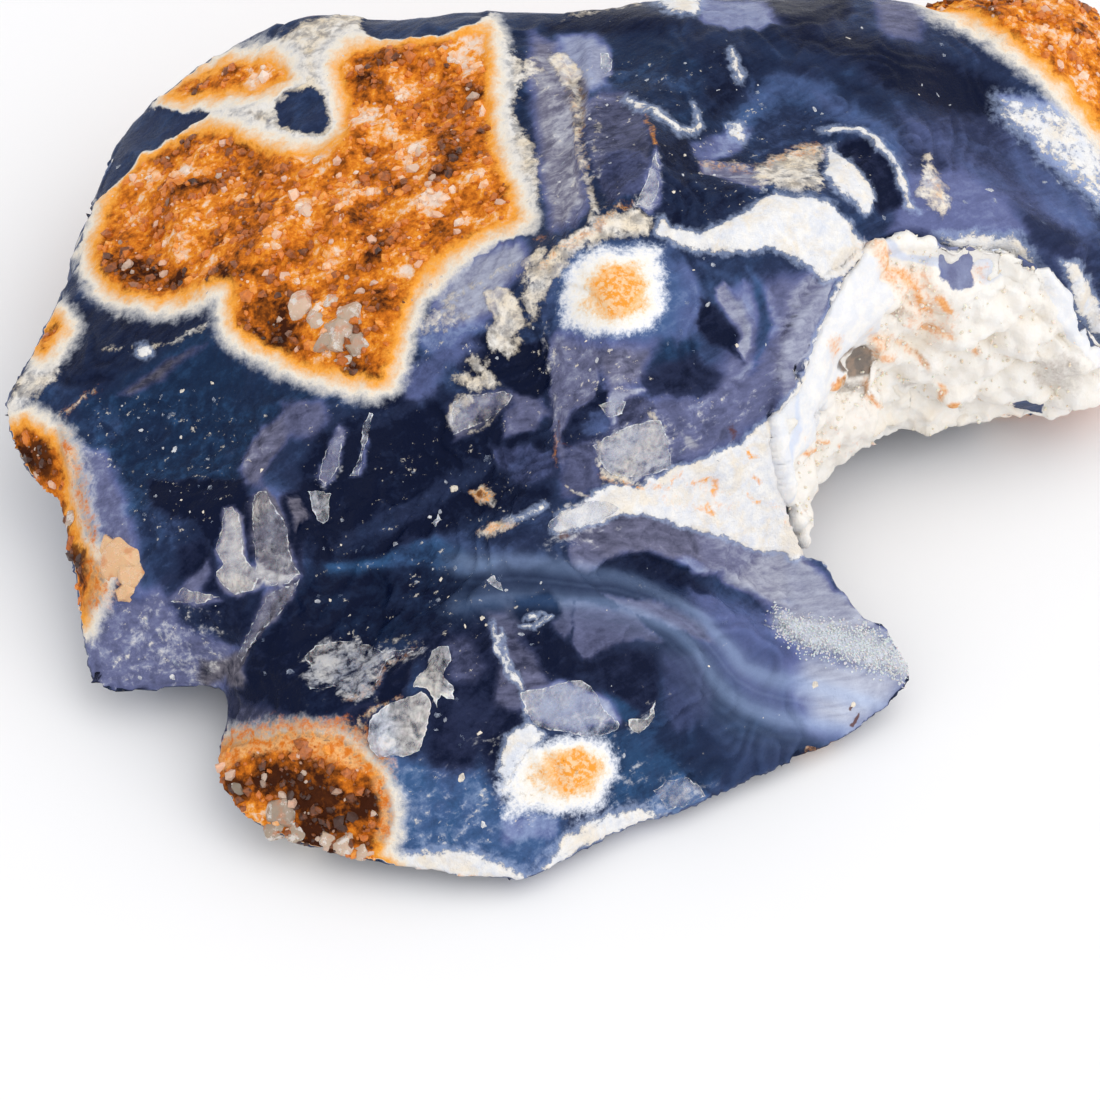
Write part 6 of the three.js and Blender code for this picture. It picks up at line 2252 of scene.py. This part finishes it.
def make_chips(settings, stone):
    """Small loose chips: those that the photograph shows, and others strewn by chance."""
    random = np.random.default_rng(83)
    mesh = stone.data
    tree = surface_tree(stone)
    hits = [under_pixel(tree, (across, down)) for across, down, _ in FLECKS]
    shown = np.array([0.6 * radius / PIXELS_PER_MM * MM for _, _, radius in FLECKS])
    weights = (0.15 + stored(mesh, "speck")) * (1 - stored(mesh, "rind_share"))
    weights = weights * (points_of(mesh)[:, 2] > 1.5 * MM)
    strewn, lie, _ = scattered(mesh, weights, settings.loose_chips, random)
    spots = np.concatenate([np.array([spot for spot, _ in hits]), strewn])
    ways = np.concatenate([np.array([way for _, way in hits]), lie])
    small = settings.loose_size * (0.14 + 0.86 * random.random(len(strewn)) ** 4)
    sizes = np.concatenate([shown, small])
    spans = sizes[:, None] * random.uniform((0.45, 0.8, 0.7), (1.0, 1.4, 1.2), (len(sizes), 3))
    corners, faces = lens()
    places, sides = repeated(corners, faces, spots, turned(ways, random), spans, random, 0.35)
    mesh = mesh_of("loose_chips", above_floor(places), sides, smooth=False)
    store(mesh, {"lot": np.repeat(random.random(len(spots)), len(corners))})
    return link("loose_chips", mesh)


def chip_finish():
    """Dusty chips, from clear grey to chalk white."""
    colours = named_colours()
    finish = Finish("pale_chips")
    cloud = finish.mottle(0.5, 3)
    lot = finish.attribute("lot")
    grey = colours.between("steel", "pale", 0.5)
    tint = finish.mix(lot + cloud.sway(0.4) - 0.1, grey, colours["chalk"])
    tint = finish.mix(lot.step(0.84, 0.9) * 0.6, tint, colours["cream"])
    normal = finish.bump(cloud, 0.3, 0.06)
    alpha = (lot + cloud.sway(0.7)).step(-0.1, 1.2)
    return finish.shade(tint, cloud * 0.15 + 0.35, normal, {"IOR": QUARTZ_IOR}, alpha=alpha)


def make_druse(settings):
    """The hollow's lumpy white crust."""
    piece = welded_copy(CRUST_NODE, "hollow_druse")
    remeshed(piece, settings.voxel, settings.smoothing)
    mesh = piece.data
    points = points_of(mesh)
    normals = normals_of(mesh)
    places = to_photo(points)[0] + wander(points, 1.5 * MM, 121, 6)
    seen = seen_share(points, normals)
    shown = {name: cover(places, marks) for name, marks in CRUST_MARKS.items()}
    broad = rough(points, 9 * MM, 2, 139)
    large = pebbles(points, 4.2 * MM, 141)
    middle = pebbles(points, 1.9 * MM, 145)
    small = pebbles(points, 0.8 * MM, 149)
    height = (0.6 - large**1.6) * 1.9 + (0.5 - middle**1.6) * 0.8 + (0.5 - small) * 0.2 + broad * 1.1 - 1.1
    lumpy = 1 - 0.85 * np.maximum(shown["smooth"], shown["stone"]) * seen
    height = height * lumpy * 1.25 * MM + rough(points, 6 * MM, 3, 151) * 0.5 * MM + 0.2 * MM
    height -= hole_depths(points, CRUST_HOLES, places) * (normals @ -AHEAD > 0)
    height -= 0.7 * MM * shown["stone"] * seen
    height = np.clip(height, -2.6 * MM, 0.6 * MM) + 0.9 * MM * shown["lip"] * seen
    move_points(mesh, above_floor(points + normals * height[:, None], 0.05 * MM))
    values = {name: share * seen for name, share in shown.items()}
    values["stain"] = np.maximum(values["stain"], hidden_cover(points, 6 * MM, 161, 0.0) * 0.5)
    # Between the lumps: the finish paints cream shade there, and crystal points stand there.
    values["groove"] = np.clip(large * 0.55 + middle * 0.45, 0, 1.2) * lumpy
    shade, steel, _ = facet_values(places)
    store(mesh, {**values, "shade": shade, "steel": steel, "ash": np.maximum(-steel, 0)})
    shade_faces(mesh, True)
    return piece


def druse_finish():
    """White to cream druse: orange in its stains, painted cream shade between its lumps, painted brown shade
    in its pits.
    """
    colours = named_colours()
    finish = Finish("white_druse")
    mid = finish.noise(1.5, 4, 0.6)
    fine = finish.noise(0.4, 4, 0.6)
    chalk = colours["chalk"]
    tint = finish.mix(mid.sway(3) + 0.5, colours.between("cream", "chalk", 0.75), chalk)
    # Painted shade: the grooves between lumps are tinted cream, darker than the chalk lumps.
    groove = (finish.attribute("groove") + fine.sway(0.4)).step(0.5, 0.95)
    tint = finish.mix(groove * 0.4, tint, colours["cream"])
    smooth = (finish.attribute("smooth") + fine.sway(0.5)).step(0.4, 0.6)
    smooth_tint = finish.mix(mid.step(0.35, 0.7), colours.between("pale", "chalk", 0.65), chalk)
    tint = finish.mix(smooth * 0.85, tint, smooth_tint)
    pale = (finish.attribute("pale") + mid.sway(0.6)).step(0.35, 0.7)
    tint = finish.mix(pale * 0.7, tint, colours.between("pale", "chalk", 0.25))
    wash = finish.mark("stain", 0.05, 0.6, mid.sway(0.4), gate=0.15)
    tint = finish.mix(wash * 0.5, tint, colours.between("cream", "amber", 0.35))
    stain = finish.mark("stain", 0.15, 0.75, fine.sway(0.9), mid.sway(0.7), gate=0.15)
    pale_stain = colours.between("amber", "cream", 0.2)
    stain_tint = finish.mix(fine.step(0.35, 0.7), pale_stain, colours.between("amber", "ochre", 0.6))
    tint = finish.mix(stain * 0.9, tint, stain_tint)
    stone = (finish.attribute("stone") + mid.sway(1.2) + fine.sway(0.5)).step(0.45, 0.75)
    tint = finish.mix(stone, tint, stone_tint(finish, colours, finish.attribute("shade") + mid.sway(0.5)))
    # Painted shade in the pits and valleys, from dark to brown.
    cavity = (finish.attribute("cavity") + fine.sway(0.6) + mid.sway(0.8)).step(0.2, 1.2)
    cavity_shade_tint = finish.mix(mid.step(0.4, 0.65), CAVITY_SHADE_DARK, CAVITY_SHADE_BROWN)
    tint = finish.mix(cavity * 0.85, tint, cavity_shade_tint)
    normal = finish.bump(fine + finish.noise(0.15, 3) * 0.5, 0.5, 0.2)
    constants = {**translucent(0.15, 0.8), "Subsurface Radius": (1.2, 1.0, 0.9)}
    return finish.shade(tint, mid.sway(0.3) + 0.55, normal, constants)


def crystal():
    """A six-sided point: corners and triangles, its foot at zero and its tip at one."""
    ring = [(math.cos(k * math.tau / 6), math.sin(k * math.tau / 6)) for k in range(6)]
    corners = [(x * 0.3, y * 0.3, -0.3) for x, y in ring] + [(x * 0.3, y * 0.3, 0.55) for x, y in ring]
    corners += [(0, 0, 1.0), (0, 0, -0.3)]
    faces = []
    for k in range(6):
        after = (k + 1) % 6
        faces += [(k, after, after + 6), (k, after + 6, k + 6), (k + 6, after + 6, 12), (after, k, 13)]
    return np.array(corners, float), np.array(faces)


def crystal_weights(mesh):
    """Where crystal points may stand on the crust: between its lumps, on the side towards the camera."""
    weights = ease(stored(mesh, "groove"), 0.2, 0.9) * (points_of(mesh)[:, 2] > 1.0 * MM)
    weights = weights * (normals_of(mesh) @ -AHEAD > 0.05) * (1 - stored(mesh, "smooth"))
    return weights * (1 - stored(mesh, "stone")) + 1e-9


def make_points(name, source, weights, count, longest, lean, seed):
    """Small quartz points standing on a surface."""
    random = np.random.default_rng(seed)
    spots, ways, _ = scattered(source, weights, count, random)
    tilted = ways + random.normal(0, lean, ways.shape)
    tilted /= np.linalg.norm(tilted, axis=1)[:, None]
    frames = turned(tilted, random)
    reach = longest * random.uniform(0.3, 1.0, len(spots)) ** 1.5
    sizes = reach[:, None] * random.uniform(0.7, 1.3, (len(spots), 3)) * np.array((1.1, 1.1, 0.8))
    corners, faces = crystal()
    places, sides = repeated(corners, faces, spots, frames, sizes, random, 0.06)
    mesh = mesh_of(name, above_floor(places), sides, smooth=False)
    store(mesh, {"clear": np.repeat(random.random(len(spots)), len(corners))})
    return link(name, mesh)


def sparkle_finish(name, warm_share):
    """Small clear to milky crystals."""
    colours = named_colours()
    finish = Finish(name)
    cloud = finish.noise(0.6, 3)
    milky = colours.between("lavender", "chalk", 0.85 + 0.15 * warm_share)
    other = blended(colours.between("lavender", "chalk", 0.7), colours["cream"], warm_share)
    tint = finish.mix(finish.attribute("clear") * 0.5 + cloud.sway(0.5) + 0.4, milky, other)
    normal = finish.bump(finish.noise(0.2, 2), 0.15, 0.03)
    return finish.shade(tint, cloud * 0.3 + 0.12, normal, translucent(0.25, 0.6))


def floor_finish(tint):
    """Matt white board."""
    finish = Finish("pale_floor")
    cloud = finish.noise(120, 2)
    shade = finish.mix(cloud.sway(0.4) + 0.5, tint, blended(tint, WHITE, 0.15))
    normal = finish.bump(finish.noise(2, 2), 0.05, 0.05)
    return finish.shade(shade, 0.65 + cloud.sway(0.05), normal, {"Specular IOR Level": 0.3})


def settle(piece, material, slot, *nodes):
    """Gives a piece its finish and its body, and hides the CAD nodes that it stands for. The slot is not
    used.
    """
    piece.data.materials.clear()
    piece.data.materials.append(material)
    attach(piece, BODY)
    if nodes:
        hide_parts(*nodes)


def piece_named(name):
    piece = bpy.data.objects.get(name)
    if piece is None:
        raise RuntimeError(f"{name} has to be made first")
    return piece


# The lights' places and widths in metres, their tints, and what they are aimed at.
AreaLight = namedtuple("AreaLight", "place size tint")
KEY_LIGHT = AreaLight((0.66, 0.05, 1.05), 1.4, (1.0, 0.995, 0.985))
FRONT_LIGHT = AreaLight((0.7, -0.85, 0.95), 1.6, (0.985, 0.99, 1.0))
LIT_SPOT = (0.0, 0.0, 0.015)
WHITE = (1.0, 1.0, 1.0, 1.0)


def add_area_light(name, plan, power_in_watts):
    light = bpy.data.lights.new(name, "AREA")
    light.energy = power_in_watts
    light.size = plan.size
    light.color = plan.tint
    lamp = link(name, light)
    lamp.location = plan.place
    lamp.rotation_euler = (Vector(LIT_SPOT) - Vector(plan.place)).to_track_quat("-Z", "Y").to_euler()


def make_stage(settings):
    """The pale floor, the lights and the photograph's camera."""
    half = 1.5
    drop = -0.02 * MM
    corners = np.array([(-half, -half, drop), (half, -half, drop), (half, half, drop), (-half, half, drop)])
    floor = link("floor", mesh_of("floor", corners, np.array([[0, 1, 2, 3]])))
    floor.data.materials.append(floor_finish(tuple(settings.floor)))
    add_area_light("key_light", KEY_LIGHT, settings.key)
    add_area_light("front_light", FRONT_LIGHT, settings.fill)
    world = bpy.data.worlds.new("white_surroundings")
    world.use_nodes = True
    background = world.node_tree.nodes["Background"]
    background.inputs["Color"].default_value = WHITE
    background.inputs["Strength"].default_value = settings.sky
    scene = bpy.context.scene
    scene.world = world
    scene.view_settings.view_transform = "Standard"
    optics = bpy.data.cameras.new("photo_camera")
    optics.angle = LENS_ANGLE
    optics.clip_start = 0.01
    camera = link("photo_camera", optics)
    camera.location = EYE
    camera.rotation_euler = Vector(AHEAD).to_track_quat("-Z", "Y").to_euler()
    scene.camera = camera


class AGATE_OT_stage(bpy.types.Operator):
    """Add the floor, the lights and the camera"""
    bl_idname = "agate.stage"
    bl_label = "Stage"

    def execute(self, context):
        make_stage(context.scene.agate_stage)
        return {"FINISHED"}


class AGATE_OT_body(bpy.types.Operator):
    """Add the stone's skin, with its bands, frost, crusts and rind"""
    bl_idname = "agate.body"
    bl_label = "Stone"

    def execute(self, context):
        settle(make_stone(context.scene.agate_stone), agate_finish(), STONE_SLOT, STONE_NODE)
        return {"FINISHED"}


class AGATE_OT_rind(bpy.types.Operator):
    """Add the rind's grains and its lumps of quartz"""
    bl_idname = "agate.rind"
    bl_label = "Rind grains"

    def execute(self, context):
        stone = piece_named("agate_body")
        settle(make_grains(context.scene.agate_rind, stone), grain_finish(), STONE_SLOT)
        settle(make_chunks(stone), chunk_finish(), STONE_SLOT)
        return {"FINISHED"}


class AGATE_OT_flakes(bpy.types.Operator):
    """Add the thin plates that the break left on the stone"""
    bl_idname = "agate.flakes"
    bl_label = "Flakes"

    def execute(self, context):
        stone = piece_named("agate_body")
        settle(make_flakes(stone), flake_finish(), STONE_SLOT)
        settle(make_chips(context.scene.agate_stone, stone), chip_finish(), STONE_SLOT)
        return {"FINISHED"}


class AGATE_OT_hollow(bpy.types.Operator):
    """Add the crust of the hollow and its crystal points"""
    bl_idname = "agate.hollow"
    bl_label = "Hollow"

    def execute(self, context):
        settings = context.scene.agate_druse
        crust = make_druse(settings)
        settle(crust, druse_finish(), DRUSE_SLOT, CRUST_NODE)
        weights = crystal_weights(crust.data)
        longest = settings.point_length * 0.7
        crystals = make_points("druse_points", crust.data, weights, settings.points, longest, 0.35, 53)
        settle(crystals, sparkle_finish("druse_crystals", 0.8), DRUSE_SLOT)
        return {"FINISHED"}


class AGATE_OT_edge(bpy.types.Operator):
    """Add the crystals along the wing's edge"""
    bl_idname = "agate.edge"
    bl_label = "Edge crystals"

    def execute(self, context):
        settings = context.scene.agate_druse
        mesh = piece_named("agate_body").data
        places, _ = to_photo(points_of(mesh))
        seen = seen_share(points_of(mesh), normals_of(mesh))
        weights = cover(places, (WING_DRUSE,)) * seen
        longest = settings.point_length * 0.45
        crystals = make_points("edge_crystals", mesh, weights, settings.wing_points, longest, 0.6, 59)
        settle(crystals, sparkle_finish("edge_crystals", 0.0), STONE_SLOT)
        return {"FINISHED"}


class AGATE_PT_panel(bpy.types.Panel):
    """Sizes, colours and pieces of the agate"""
    bl_label = "Agate"
    bl_space_type = "VIEW_3D"
    bl_region_type = "UI"
    bl_category = "Agate"

    def draw(self, context):
        for name, settings in SETTINGS.items():
            box = self.layout.box()
            box.label(text=settings.__name__)
            for field in settings.__annotations__:
                box.prop(getattr(context.scene, name), field)
        for operator in OPERATORS:
            self.layout.operator(operator.bl_idname)


SETTINGS = {
    "agate_stone": StoneSettings, "agate_rind": RindSettings, "agate_druse": DruseSettings,
    "agate_colours": ColourSettings, "agate_stage": StageSettings,
}
OPERATORS = (AGATE_OT_stage, AGATE_OT_body, AGATE_OT_rind, AGATE_OT_flakes, AGATE_OT_hollow, AGATE_OT_edge)


def register():
    for made in (*SETTINGS.values(), *OPERATORS, AGATE_PT_panel):
        bpy.utils.register_class(made)
    for name, settings in SETTINGS.items():
        setattr(bpy.types.Scene, name, PointerProperty(type=settings))


def unregister():
    for name in SETTINGS:
        delattr(bpy.types.Scene, name)
    for made in reversed((*SETTINGS.values(), *OPERATORS, AGATE_PT_panel)):
        bpy.utils.unregister_class(made)


def main():
    register()
    bpy.ops.agate.stage()
    bpy.ops.agate.body()
    bpy.ops.agate.rind()
    bpy.ops.agate.flakes()
    bpy.ops.agate.hollow()
    bpy.ops.agate.edge()


if __name__ == "__main__":
    main()
